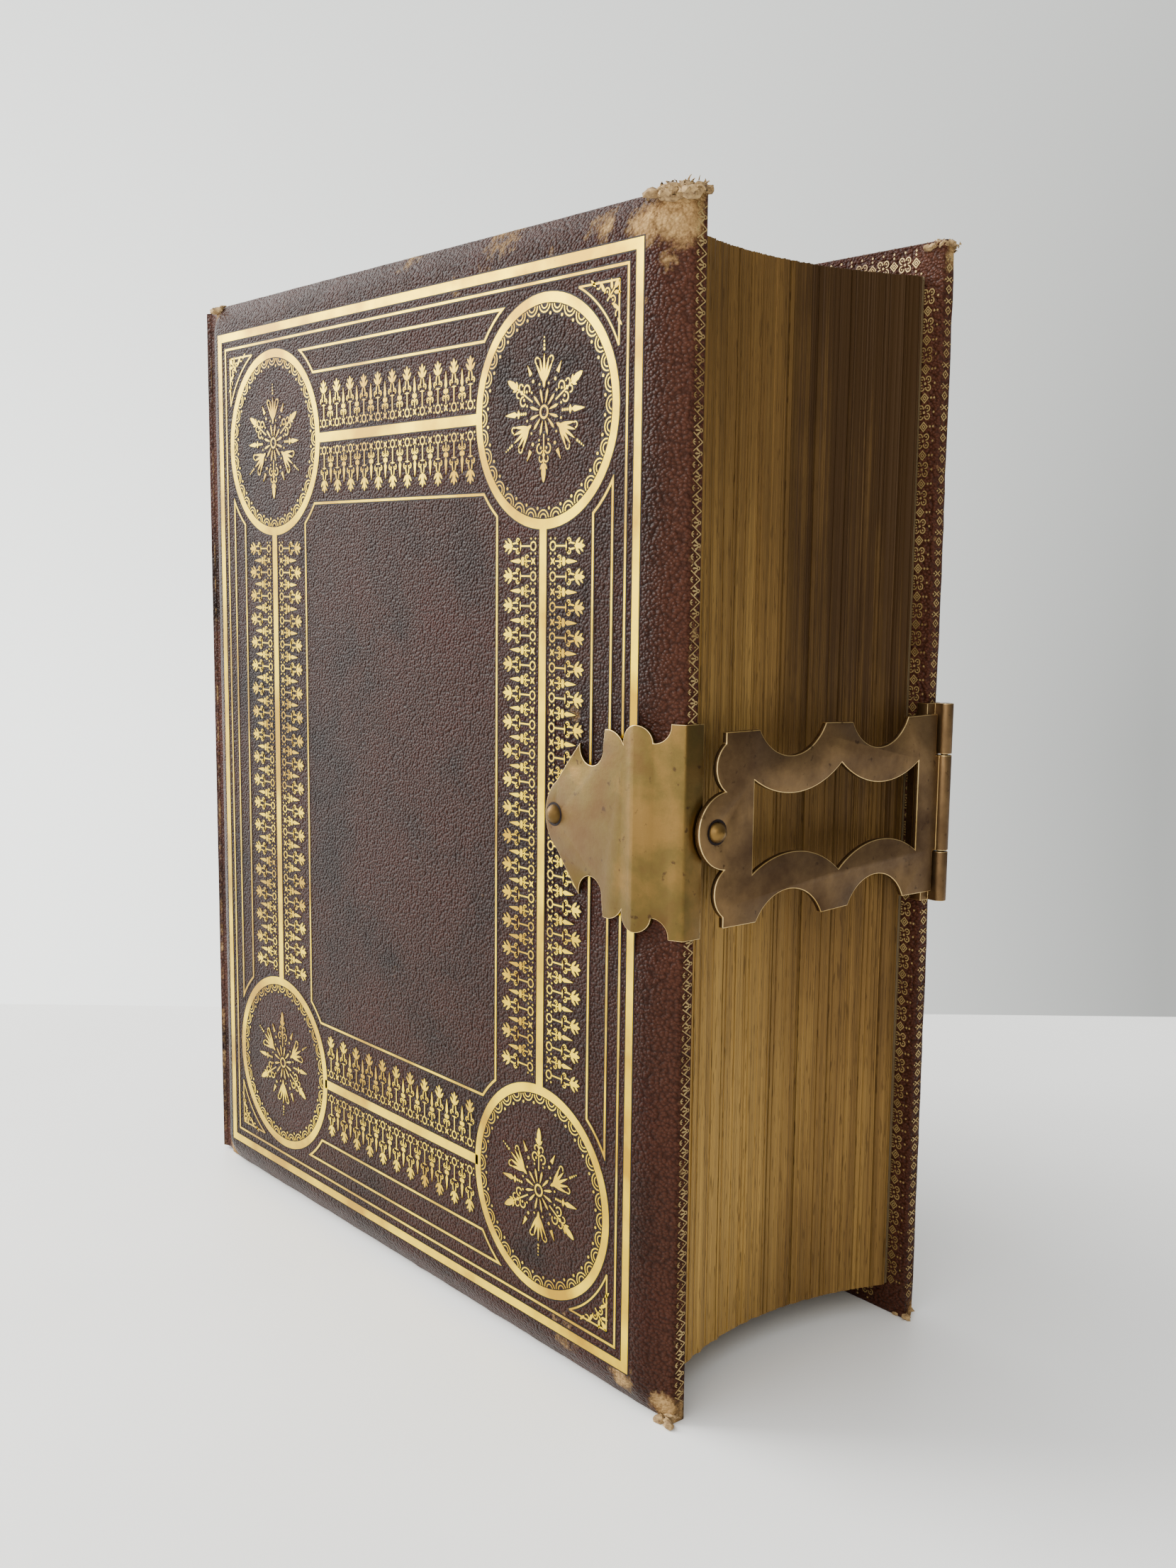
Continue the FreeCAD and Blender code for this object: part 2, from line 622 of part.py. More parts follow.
def check_and_write():
    """Stops on any failed object or bad shape, then writes each piece to its own file."""
    doc.recompute()
    failed = [thing.Label for thing in doc.Objects if {"Invalid", "Error"} & set(thing.State)]
    if failed:
        raise RuntimeError(f"failed objects: {failed}")
    os.makedirs("parts", exist_ok=True)
    for piece in nodes:
        shape = piece.Shape
        if shape.isNull() or not shape.isValid() or not shape.Solids:
            raise RuntimeError(f"bad shape: {piece.Label}")
        shape.exportStep(f"parts/{piece.Label}.step")
        bounds = shape.BoundBox
        low = [round(number, 2) for number in (bounds.XMin, bounds.YMin, bounds.ZMin)]
        high = [round(number, 2) for number in (bounds.XMax, bounds.YMax, bounds.ZMax)]
        print(f"{piece.Label}: {len(shape.Solids)} solid(s), {low} to {high}, {shape.Volume:.1f} mm3")


make_cover("front", FRONT)
make_cover("back", BACK)
make_leaf("front_flyleaf", FRONT, 1)
make_leaf("title_leaf", FRONT, 0)
make_leaf("back_flyleaf", BACK, 1)
make_leaf("rear_leaf", BACK, 0)
for group in range(GATHERING_GROUPS):
    make_gatherings(group)
make_spine()
make_end_band("headband", HEAD, 1)
make_end_band("tailband", TAIL, -1)
make_catch_plate()
make_anchor_plate()
make_hasp()
make_stud()
make_rivet("catch_rivet", FRONT)
make_rivet("anchor_rivet", BACK)
make_hinge_pin()
check_and_write()
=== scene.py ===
"""Clasped family book: gold-tooled morocco boards, gilt leaves and a brass clasp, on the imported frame."""

import logging
import math
import random
from dataclasses import dataclass, field
from enum import Enum
from typing import Iterable, Sequence

import bmesh
import bpy
from mathutils import Matrix, Vector, noise


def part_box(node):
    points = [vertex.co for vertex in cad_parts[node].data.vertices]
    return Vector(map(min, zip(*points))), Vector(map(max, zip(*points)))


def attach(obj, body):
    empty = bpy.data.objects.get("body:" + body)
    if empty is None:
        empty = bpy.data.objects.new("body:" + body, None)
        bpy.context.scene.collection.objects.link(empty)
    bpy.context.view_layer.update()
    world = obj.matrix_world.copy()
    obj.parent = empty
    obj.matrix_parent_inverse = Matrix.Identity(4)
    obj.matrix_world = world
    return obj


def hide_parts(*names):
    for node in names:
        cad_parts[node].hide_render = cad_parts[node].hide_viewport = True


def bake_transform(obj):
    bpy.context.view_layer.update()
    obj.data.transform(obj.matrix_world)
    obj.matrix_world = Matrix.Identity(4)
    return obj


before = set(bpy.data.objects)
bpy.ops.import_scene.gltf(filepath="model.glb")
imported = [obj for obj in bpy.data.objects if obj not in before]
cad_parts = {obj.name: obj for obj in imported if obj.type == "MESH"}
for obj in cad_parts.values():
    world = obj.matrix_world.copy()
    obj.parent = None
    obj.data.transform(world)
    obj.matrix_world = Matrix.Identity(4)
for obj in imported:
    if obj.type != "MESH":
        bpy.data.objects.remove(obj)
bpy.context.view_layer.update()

logging.basicConfig(level=logging.INFO, format="%(message)s")
LOG = logging.getLogger("book")

MM = 0.001
Point = tuple[float, float]
Colour = tuple[float, float, float, float]
Stop = tuple[float, Colour]
Tree = bpy.types.NodeTree
Node = bpy.types.Node
Socket = bpy.types.NodeSocket
BMesh = bmesh.types.BMesh
Inputs = dict[int | str, object]


class Side(Enum):
    """Which cover of the book a piece belongs to, and the way it faces along y."""

    FRONT = -1
    BACK = 1

    @property
    def label(self) -> str:
        """Returns the side's word as the frame's names use it."""
        return self.name.lower()


# ---------------------------------------------------------------- materials


def linear(hex_code: str, scale: float = 1.0) -> Colour:
    """Turns an sRGB hex colour to linear light.

    Args:
        hex_code: Six hex digits.
        scale: Factor on the result.

    Returns:
        Red, green, blue and an alpha of one.
    """
    parts = [int(hex_code[i : i + 2], 16) / 255 for i in (0, 2, 4)]
    light = [p / 12.92 if p <= 0.04045 else ((p + 0.055) / 1.055) ** 2.4 for p in parts]
    return (light[0] * scale, light[1] * scale, light[2] * scale, 1.0)


def add(
    tree: Tree, kind: str, inputs: Inputs | None = None, stops: Sequence[Stop] = (), **settings: object
) -> Node:
    """Adds a shader node, sets it up and links it.

    Args:
        tree: Node tree that gets the node.
        kind: Node type without its ShaderNode prefix.
        inputs: Socket name or index to a value, a socket or a node, which means its first output.
        stops: Positions and colours of a colour ramp.
        **settings: Properties of the node.

    Returns:
        The new node.
    """
    node = tree.nodes.new("ShaderNode" + kind)
    for key, value in settings.items():
        setattr(node, key, value)
    for key, value in (inputs or {}).items():
        if isinstance(value, bpy.types.Node):
            value = value.outputs[0]
        if isinstance(value, bpy.types.NodeSocket):
            tree.links.new(value, node.inputs[key])
        else:
            node.inputs[key].default_value = value
    if stops:
        points = node.color_ramp.elements
        while len(points) < len(stops):
            points.new(1.0)
        for point, (position, colour) in zip(points, stops):
            point.position = position
            point.color = colour
    return node


def grey(value: float) -> Colour:
    """Returns a neutral colour of that linear value."""
    return (value, value, value, 1.0)


@dataclass(frozen=True)
class Finish:
    """A surface of the book, as its maker left it and use has worn it."""

    name: str

    def material(self) -> bpy.types.Material:
        """Returns the finish's material, made once."""
        made = bpy.data.materials.get(self.name)
        if made is None:
            made = bpy.data.materials.new(self.name)
            made.use_nodes = True
            tree = made.node_tree
            tree.nodes.clear()
            place = add(tree, "TexCoord").outputs["Object"]
            add(tree, "OutputMaterial", {"Surface": add(tree, "BsdfPrincipled", self.dress(tree, place))})
        return made

    def dress(self, tree: Tree, place: Socket) -> Inputs:
        """Adds this finish's own nodes.

        Args:
            tree: The material's node tree.
            place: Object coordinates in metres.

        Returns:
            What goes into the principled shader.
        """
        raise NotImplementedError


@dataclass(frozen=True)
class Morocco(Finish):
    """Goatskin, dyed and boarded to a pebble grain: glints on pebbles, creases darkened with painted shade, a
    lighter fore edge that is part handling and part painted light, tan where rubbed.
    """

    pebble: float = 0.92
    dark: str = "160B07"
    light: str = "2A140C"
    red: str = "2F120A"
    handled_and_lit: str = "482A1E"
    bare: str = "6B4F30"
    pale: str = "AC8C5C"

    def dress(self, tree: Tree, place: Socket) -> Inputs:
        """Adds the grain, the dye's unevenness, the painted shade in the creases, the handled tone with its
        painted light and the rubbed hide.
        """
        sway = add(tree, "TexNoise", {"Vector": place, "Scale": 420.0, "Detail": 2.0})
        bent = add(tree, "MixRGB", {0: 0.0007, 1: place, 2: sway.outputs["Color"]}, blend_type="ADD")
        drawn = add(tree, "Mapping", {"Vector": bent, "Scale": (0.85, 0.85, 1.15)})
        cells = add(tree, "TexVoronoi", {"Vector": drawn, "Scale": 1 / (self.pebble * MM)})
        fine = add(tree, "TexNoise", {"Vector": place, "Scale": 3200.0, "Detail": 3.0})
        cloud = add(tree, "TexNoise", {"Vector": place, "Scale": 26.0, "Detail": 5.0, "Roughness": 0.6})
        dye = add(
            tree,
            "ValToRGB",
            {0: cloud},
            [(0.3, linear(self.dark)), (0.52, linear(self.light)), (0.72, linear(self.red))],
        )
        # Part wear from hands, part painted light: the fore-edge bevel and the rims are lightened and
        # reddened.
        touch = add(tree, "Attribute", attribute_name="handled_and_lit")
        dye = add(tree, "MixRGB", {0: touch.outputs["Fac"], 1: dye, 2: linear(self.handled_and_lit)})
        # Painted shade: the dye is darkened towards the edges of each grain cell, where the creases lie.
        crease_shade = add(
            tree, "MapRange", {0: cells.outputs["Distance"], 1: 0.3, 2: 0.75, 3: 1.1, 4: 0.55}
        )
        toned = add(
            tree, "MixRGB", {0: 1.0, 1: dye, 2: crease_shade}, blend_type="MULTIPLY"
        )
        worn = add(tree, "Attribute", attribute_name="wear")
        rag = add(tree, "TexNoise", {"Vector": place, "Scale": 120.0, "Detail": 8.0, "Roughness": 0.78})
        edge = add(tree, "Math", {0: worn.outputs["Fac"], 1: rag}, operation="ADD")
        rub = add(tree, "MapRange", {0: edge, 1: 0.9, 2: 1.16, 3: 0.0, 4: 0.96})
        scuffs = add(tree, "TexNoise", {"Vector": place, "Scale": 95.0, "Detail": 7.0, "Roughness": 0.8})
        specks = add(tree, "MapRange", {0: scuffs, 1: 0.66, 2: 0.74, 3: 0.0, 4: 0.5})
        most = add(tree, "Math", {0: rub, 1: specks}, operation="MAXIMUM")
        hide = add(
            tree, "ValToRGB", {0: rag}, [(0.38, linear(self.bare)), (0.62, linear(self.pale))]
        )
        colour = add(tree, "MixRGB", {0: most, 1: toned, 2: hide})
        gloss = add(tree, "MapRange", {0: most, 3: 0.3, 4: 0.95})
        relief = add(tree, "Math", {0: cells.outputs["Distance"], 1: -1.0}, operation="MULTIPLY")
        grain = add(
            tree, "Bump", {"Height": relief, "Strength": 1.0, "Distance": 0.0006}
        )
        nap = add(
            tree,
            "Bump",
            {"Height": fine, "Normal": grain, "Strength": 0.3, "Distance": 0.0001},
        )
        return {
            "Base Color": colour,
            "Roughness": gloss,
            "Normal": nap,
            "IOR": 1.5,
            "Specular IOR Level": 0.05,
        }


@dataclass(frozen=True)
class GoldLeaf(Finish):
    """Gold leaf struck into leather with a hot tool: warm metal, burnished flat, rubbed through in places."""

    tone: str = "E6C402"
    deep: str = "A88206"
    under: str = "4A332A"
    loss: float = 0.70
    rough: float = 0.42
    metal: float = 0.9

    def dress(self, tree: Tree, place: Socket) -> Inputs:
        """Adds the leaf's tone, its rubbed gaps and the faint grain below."""
        drift = add(tree, "TexNoise", {"Vector": place, "Scale": 38.0, "Detail": 5.0})
        tone = add(
            tree, "ValToRGB", {0: drift}, [(0.38, linear(self.deep)), (0.58, linear(self.tone))]
        )
        rubs = add(tree, "TexNoise", {"Vector": place, "Scale": 900.0, "Detail": 4.0, "Roughness": 0.7})
        gaps = add(tree, "MapRange", {0: rubs, 1: self.loss, 2: self.loss + 0.05, 3: 0.0, 4: 1.0})
        colour = add(tree, "MixRGB", {0: gaps, 1: tone, 2: linear(self.under)})
        metal = add(tree, "MapRange", {0: gaps, 3: self.metal, 4: 0.0})
        bump = add(tree, "Bump", {"Height": rubs, "Strength": 0.25, "Distance": 0.0001})
        return {"Base Color": colour, "Metallic": metal, "Roughness": self.rough, "Normal": bump}


@dataclass(frozen=True)
class BlindLineAndShade(Finish):
    """Leather scorched dark and smooth where a tool's shoulder pressed it, round every gold mark, and
    darkened further as painted shade in the pressed hollow.
    """

    tone: str = "120807"

    def dress(self, tree: Tree, place: Socket) -> Inputs:
        """Adds the dark tone, scorched leather and painted shade in one, and its slight shine."""
        spots = add(tree, "TexNoise", {"Vector": place, "Scale": 1100.0, "Detail": 3.0})
        tone = add(
            tree, "ValToRGB", {0: spots}, [(0.3, linear(self.tone, 0.8)), (0.7, linear(self.tone, 1.5))]
        )
        return {"Base Color": tone, "Roughness": 0.6, "Specular IOR Level": 0.15}


@dataclass(frozen=True)
class GiltEdge(Finish):
    """Leaf edges scraped smooth and gilt, dulled by handling: fine upright streaks, browner aloft, with
    painted light towards the front and painted shade towards the back.
    """

    bright: str = "9C7C44"
    middle: str = "6C512A"
    dull: str = "382612"

    def dress(self, tree: Tree, place: Socket) -> Inputs:
        """Adds one streak to a leaf or two, packets of leaves in their own tones, smudges, and painted light
        at the front shading to the back.
        """
        # A leaf is about 0.1 mm thick; streaks are drawn 0.35 mm wide so that they show.
        fine_way = add(tree, "Mapping", {"Vector": place, "Scale": (60.0, 2800.0, 6.0)})
        fine = add(tree, "TexNoise", {"Vector": fine_way, "Scale": 1.0, "Detail": 4.0, "Roughness": 0.6})
        wide_way = add(tree, "Mapping", {"Vector": place, "Scale": (20.0, 420.0, 2.2)})
        wide = add(tree, "TexNoise", {"Vector": wide_way, "Scale": 1.0, "Detail": 3.0})
        cloud_way = add(tree, "Mapping", {"Vector": place, "Scale": (20.0, 40.0, 9.0)})
        cloud = add(tree, "TexNoise", {"Vector": cloud_way, "Scale": 1.0, "Detail": 5.0, "Roughness": 0.65})
        axes = add(tree, "SeparateXYZ", {0: place})
        low = add(tree, "MapRange", {0: axes.outputs[2], 1: 0.05, 2: 0.30, 3: 0.13, 4: -0.10})
        # Painted light and shade: brighter towards the front of the fore edge, darker towards the back, more
        # so higher up.
        front_lit_back_shaded = add(tree, "MapRange", {0: axes.outputs[1], 1: -0.016, 2: 0.012, 3: 0.09, 4: -0.14})
        aloft = add(tree, "MapRange", {0: axes.outputs[2], 1: 0.08, 2: 0.22, 3: 0.75, 4: 1.0})
        back = add(tree, "Math", {0: front_lit_back_shaded, 1: aloft}, operation="MULTIPLY")
        total = add(tree, "Math", {0: fine, 1: 0.22, 2: 0.12}, operation="MULTIPLY_ADD")
        total = add(tree, "Math", {0: wide, 1: 0.26, 2: total}, operation="MULTIPLY_ADD")
        total = add(tree, "Math", {0: cloud, 1: 0.34, 2: total}, operation="MULTIPLY_ADD")
        total = add(tree, "Math", {0: total, 1: low}, operation="ADD")
        total = add(tree, "Math", {0: total, 1: back}, operation="ADD")
        tone = add(
            tree,
            "ValToRGB",
            {0: total},
            [(0.34, linear(self.dull)), (0.52, linear(self.middle)), (0.74, linear(self.bright))],
        )
        fleck_way = add(tree, "Mapping", {"Vector": place, "Scale": (60.0, 2300.0, 150.0)})
        fleck = add(tree, "TexNoise", {"Vector": fleck_way, "Scale": 1.0, "Detail": 2.0})
        bare = add(tree, "MapRange", {0: fleck, 1: 0.6, 2: 0.66, 3: 0.0, 4: 0.55})
        colour = add(tree, "MixRGB", {0: bare, 1: tone, 2: linear(self.dull)})
        metal = add(tree, "MapRange", {0: total, 1: 0.35, 2: 0.7, 3: 0.2, 4: 0.7})
        bump = add(tree, "Bump", {"Height": fine, "Strength": 0.3, "Distance": 0.0002})
        return {
            "Base Color": colour,
            "Metallic": metal,
            "Roughness": 0.46,
            "Specular IOR Level": 0.12,
            "Normal": bump,
        }


@dataclass(frozen=True)
class SheetBrass(Finish):
    """Sheet brass, polished and left to tarnish: satin yellow with brown bloom, spots and fine scratches."""

    clean: str = "6E552E"
    olive: str = "5A4A27"
    brown: str = "553F23"
    tarnish: float = 0.5
    rough: float = 0.38

    def dress(self, tree: Tree, place: Socket) -> Inputs:
        """Adds tarnish clouds, spots and rubbing scratches."""
        cloud = add(tree, "TexNoise", {"Vector": place, "Scale": 48.0, "Detail": 6.0, "Roughness": 0.62})
        tone = add(
            tree,
            "ValToRGB",
            {0: cloud},
            [
                (self.tarnish - 0.16, linear(self.brown)),
                (self.tarnish, linear(self.olive)),
                (self.tarnish + 0.14, linear(self.clean)),
            ],
        )
        spot = add(tree, "TexNoise", {"Vector": place, "Scale": 420.0, "Detail": 3.0, "Roughness": 0.5})
        spots = add(tree, "MapRange", {0: spot, 1: 0.66, 2: 0.73, 3: 0.0, 4: 0.75})
        colour = add(tree, "MixRGB", {0: spots, 1: tone, 2: linear("3A2A1E")})
        gloss = add(
            tree, "MapRange", {0: cloud, 1: 0.3, 2: 0.7, 3: self.rough + 0.14, 4: self.rough - 0.05}
        )
        drawn = {"Vector": place, "Scale": (300.0, 300.0, 5200.0), "Rotation": (0.1, 0.3, 0.0)}
        way = add(tree, "Mapping", drawn)
        scratch = add(tree, "TexNoise", {"Vector": way, "Scale": 1.0, "Detail": 2.0})
        bump = add(tree, "Bump", {"Height": scratch, "Strength": 0.14, "Distance": 0.00006})
        dent = add(
            tree,
            "Bump",
            {"Height": cloud, "Normal": bump, "Strength": 0.35, "Distance": 0.0012},
        )
        return {"Base Color": colour, "Metallic": 1.0, "Roughness": gloss, "Normal": dent}


def brown_rim(tree: Tree, place: Socket, colour: Node) -> Node:
    """Browns the last millimetre of a leaf at the fore edge, where fingers and dust reach it.

    Args:
        tree: The material's nodes.
        place: Object coordinates.
        colour: The leaf's own colour.

    Returns:
        The node that gives the finished colour.
    """
    axes = add(tree, "SeparateXYZ", {0: place})
    share = add(tree, "MapRange", {0: axes, 1: 126.4 * MM, 2: 127.4 * MM, 3: 0.0, 4: 0.9})
    return add(tree, "MixRGB", {0: share, 1: colour, 2: linear("4E3B20")})


@dataclass(frozen=True)
class Paper(Finish):
    """Machine-made rag paper, toned by age: matt cream, felted fibres, browner spots."""

    base: str = "DCCBA4"
    aged: str = "BFA274"
    bloom: float = 30.0

    def dress(self, tree: Tree, place: Socket) -> Inputs:
        """Adds age toning, foxing and the felt of the fibres."""
        cloud = add(tree, "TexNoise", {"Vector": place, "Scale": self.bloom, "Detail": 6.0, "Roughness": 0.6})
        tone = add(
            tree, "ValToRGB", {0: cloud}, [(0.32, linear(self.aged)), (0.6, linear(self.base))]
        )
        fox = add(tree, "TexNoise", {"Vector": place, "Scale": 160.0, "Detail": 2.0})
        foxed = add(tree, "MapRange", {0: fox, 1: 0.72, 2: 0.8, 3: 0.0, 4: 0.45})
        colour = add(tree, "MixRGB", {0: foxed, 1: tone, 2: linear("8A5E34")})
        edged = brown_rim(tree, place, colour)
        felt = add(tree, "TexNoise", {"Vector": place, "Scale": 2600.0, "Detail": 3.0})
        bump = add(tree, "Bump", {"Height": felt, "Strength": 0.18, "Distance": 0.0001})
        return {"Base Color": edged, "Roughness": 0.82, "Normal": bump}


@dataclass(frozen=True)
class Moire(Finish):
    """Coated endpaper, embossed like watered silk: satin cream with long wandering bands of sheen."""

    base: str = "CBB890"
    shade: str = "B9A47A"

    def dress(self, tree: Tree, place: Socket) -> Inputs:
        """Adds the watered figure, whose bands are about 3 mm apart, and fine ribs."""
        way = add(tree, "Mapping", {"Vector": place, "Scale": (1.0, 1.0, 0.35)})
        figure = add(
            tree,
            "TexWave",
            {"Vector": way, "Scale": 85.0, "Distortion": 14.0, "Detail": 3.0, "Detail Scale": 1.6},
        )
        tone = add(
            tree,
            "ValToRGB",
            {0: figure.outputs["Fac"]},
            [(0.2, linear(self.shade)), (0.8, linear(self.base))],
        )
        edged = brown_rim(tree, place, tone)
        gloss = add(tree, "MapRange", {0: figure.outputs["Fac"], 3: 0.62, 4: 0.42})
        ribs = add(tree, "TexWave", {"Vector": place, "Scale": 420.0, "Distortion": 1.0}, bands_direction="Z")
        bump = add(tree, "Bump", {"Height": ribs.outputs["Fac"], "Strength": 0.2, "Distance": 0.0001})
        return {"Base Color": edged, "Roughness": gloss, "Normal": bump}


@dataclass(frozen=True)
class Woven(Finish):
    """Plain-woven thread, sized with glue: crossing ribs and small gaps."""

    base: str = "BCAA86"
    gap: str = "7A6646"
    thread: float = 0.5

    def dress(self, tree: Tree, place: Socket) -> Inputs:
        """Adds warp and weft at the thread spacing."""
        turn = math.pi / (self.thread * MM) / 10
        warp = add(tree, "TexWave", {"Vector": place, "Scale": turn, "Distortion": 0.4}, bands_direction="Z")
        weft = add(tree, "TexWave", {"Vector": place, "Scale": turn, "Distortion": 0.4}, bands_direction="Y")
        cross = add(tree, "Math", {0: warp.outputs["Fac"], 1: weft.outputs["Fac"]}, operation="MULTIPLY")
        tone = add(
            tree, "ValToRGB", {0: cross}, [(0.05, linear(self.gap)), (0.45, linear(self.base))]
        )
        bump = add(tree, "Bump", {"Height": cross, "Strength": 0.5, "Distance": 0.0002})
        return {"Base Color": tone, "Roughness": 0.85, "Normal": bump}


@dataclass(frozen=True)
class Striped(Finish):
    """Two silks sewn by turns over a core: shining bars of gold and crimson, each about 2 mm."""

    first: str = "B98B3C"
    second: str = "6E2320"

    def dress(self, tree: Tree, place: Socket) -> Inputs:
        """Adds the two colours by turns and the lie of the thread."""
        bars = add(tree, "TexWave", {"Vector": place, "Scale": 78.0}, bands_direction="Y", wave_profile="SIN")
        pick = add(tree, "MapRange", {0: bars.outputs["Fac"], 1: 0.45, 2: 0.55})
        colour = add(tree, "MixRGB", {0: pick, 1: linear(self.first), 2: linear(self.second)})
        thread = add(tree, "TexWave", {"Vector": place, "Scale": 640.0}, bands_direction="Y")
        bump = add(tree, "Bump", {"Height": thread.outputs["Fac"], "Strength": 0.5, "Distance": 0.0002})
        return {"Base Color": colour, "Normal": bump, "Roughness": 0.38, "Sheen Weight": 0.3}


@dataclass(frozen=True)
class RawHide(Finish):
    """The felt of the skin below its dyed face, torn open: dry tan fibres and brown dust."""

    light: str = "A98C5E"
    dark: str = "5C452C"

    def dress(self, tree: Tree, place: Socket) -> Inputs:
        """Adds mixed fibre tones and a dry surface."""
        mix = add(tree, "TexNoise", {"Vector": place, "Scale": 700.0, "Detail": 6.0, "Roughness": 0.7})
        tone = add(
            tree, "ValToRGB", {0: mix}, [(0.34, linear(self.dark)), (0.62, linear(self.light))]
        )
        bump = add(tree, "Bump", {"Height": mix, "Strength": 0.6, "Distance": 0.0005})
        return {"Base Color": tone, "Roughness": 0.95, "Normal": bump}


@dataclass(frozen=True)
class PaleFloor(Finish):
    """A plain honed slab, near white: matt with the least hint of cloud."""

    base: str = "F7F8F6"
    shade: str = "F0F1EE"

    def dress(self, tree: Tree, place: Socket) -> Inputs:
        """Adds the faint cloud."""
        cloud = add(tree, "TexNoise", {"Vector": place, "Scale": 5.0, "Detail": 3.0})
        tone = add(
            tree, "ValToRGB", {0: cloud}, [(0.35, linear(self.shade)), (0.65, linear(self.base))]
        )
        return {"Base Color": tone, "Roughness": 0.42}


MOROCCO = Morocco("pebble_grain_morocco")
SPINE_MOROCCO = Morocco("handled_and_lit_spine_morocco", light="432A23", red="4A2A20")
GOLD = GoldLeaf("tooled_gold_leaf")
EDGE_GOLD = GoldLeaf("worn_edge_gold", tone="A8905C", deep="7C6438", loss=0.62, rough=0.5, metal=0.45)
BLIND_AND_SHADE = BlindLineAndShade("scorched_line_and_painted_shade")
GILT = GiltEdge("dull_gilt_leaf_edges")
BRASS = SheetBrass("aged_sheet_brass")
HASP_BRASS = SheetBrass(
    "brown_sheet_brass", clean="725A3C", olive="5F4A32", brown="493625", tarnish=0.5, rough=0.42
)
# Paler brass for eased edges: part rubbed metal, part painted highlight.
RUBBED_AND_HIGHLIT_BRASS = SheetBrass(
    "rubbed_and_highlit_brass_edge", clean="CDB078", olive="B09258", brown="80653C", tarnish=0.36, rough=0.3
)
PAGE = Paper("aged_page_paper")
RAW_BOARD = Paper("raw_paste_board", base="A98F66", aged="8A6E48")
ENDPAPER = Moire("watered_endpaper")
CLOTH = Woven("sized_cotton_cloth")
SILK = Striped("sewn_silk_headband")
HIDE = RawHide("torn_hide")
FLOOR = PaleFloor("pale_honed_floor")


# ---------------------------------------------------------------- making pieces


def heading(angle: float) -> Vector:
    """Returns the flat unit vector at an angle in degrees."""
    return Vector((math.cos(math.radians(angle)), math.sin(math.radians(angle))))


def box_of(node: str) -> tuple[Vector, Vector]:
    """Returns the low and high corners of a CAD node in millimetres."""
    low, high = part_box(node)
    return low / MM, high / MM


def settle(bm: BMesh) -> BMesh:
    """Turns a shape's faces outwards and its millimetres to metres."""
    bmesh.ops.recalc_face_normals(bm, faces=bm.faces)
    bmesh.ops.scale(bm, vec=(MM, MM, MM), verts=bm.verts)
    return bm


def put_in(name: str, data: bpy.types.ID | None) -> bpy.types.Object:
    """Adds an object to the scene, at the origin."""
    made = bpy.data.objects.new(name, data)
    bpy.context.scene.collection.objects.link(made)
    return made


def rise(share: float) -> float:
    """Eases from nought to one as a quarter of a sine wave, held at both ends."""
    return math.sin(math.pi / 2 * min(max(share, 0.0), 1.0))


def piece(
    name: str,
    bm: BMesh,
    finishes: Sequence[Finish],
    body: str = "",
    stands_for: Iterable[str] = (),
    smooth_angle: float = 40.0,
) -> bpy.types.Object:
    """Turns a bmesh into a piece of the book.

    Args:
        name: The piece's name.
        bm: Its shape in metres, freed here.
        finishes: One finish for each material index.
        body: Body that it rides on, or nothing where it spans a joint.
        stands_for: CAD nodes that it replaces.
        smooth_angle: Edges sharper than this many degrees stay crisp.

    Returns:
        The new object.
    """
    for edge in bm.edges:
        if len(edge.link_faces) == 2:
            edge.smooth = edge.calc_face_angle(0.0) < math.radians(smooth_angle)
    for face in bm.faces:
        face.smooth = True
    mesh = bpy.data.meshes.new(name)
    bm.to_mesh(mesh)
    bm.free()
    for finish in finishes:
        mesh.materials.append(finish.material())
    made = put_in(name, mesh)
    if stands_for:
        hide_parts(*stands_for)
    if body:
        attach(made, body)
    LOG.info("%s: %d faces", name, len(mesh.polygons))
    return made


def repaint(node: str, finish: Finish) -> None:
    """Gives a CAD node that stays in view its finish.

    Args:
        node: The CAD node's name.
        finish: Its finish.
    """
    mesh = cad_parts[node].data
    mesh.materials.clear()
    mesh.materials.append(finish.material())
    LOG.info("%s: %s", node, finish.name)


def merged_copy(node: str) -> BMesh:
    """Copies a CAD node's mesh, with its loose triangles joined up into whole faces.

    Args:
        node: The CAD node's name.

    Returns:
        A new bmesh in metres.
    """
    bm = bmesh.new()
    bm.from_mesh(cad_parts[node].data)
    bmesh.ops.remove_doubles(bm, verts=bm.verts, dist=1e-6)
    bmesh.ops.dissolve_limit(bm, angle_limit=math.radians(1.0), verts=bm.verts, edges=bm.edges)
    return bm


# ---------------------------------------------------------------- finishing tools


@dataclass(frozen=True)
class Plane:
    """A flat face of the book that tools are pressed on, in millimetres from its origin."""

    origin: Vector
    right: Vector
    up: Vector

    def place(self, u: float, v: float, lift: float) -> Vector:
        """Returns the frame's point at u across, v up and lift proud of the face."""
        return (self.origin + self.right * u + self.up * v + self.right.cross(self.up) * lift) * MM


@dataclass(frozen=True)
class Drum:
    """The rounded spine as a face for tools: u runs round it and v up it."""

    centre: float
    radius: float

    def place(self, u: float, v: float, lift: float) -> Vector:
        """Returns the frame's point at u round, v up and lift proud of the spine."""
        angle = u / self.radius
        reach = self.radius + lift
        return Vector((self.centre - reach * math.cos(angle), -reach * math.sin(angle), v)) * MM


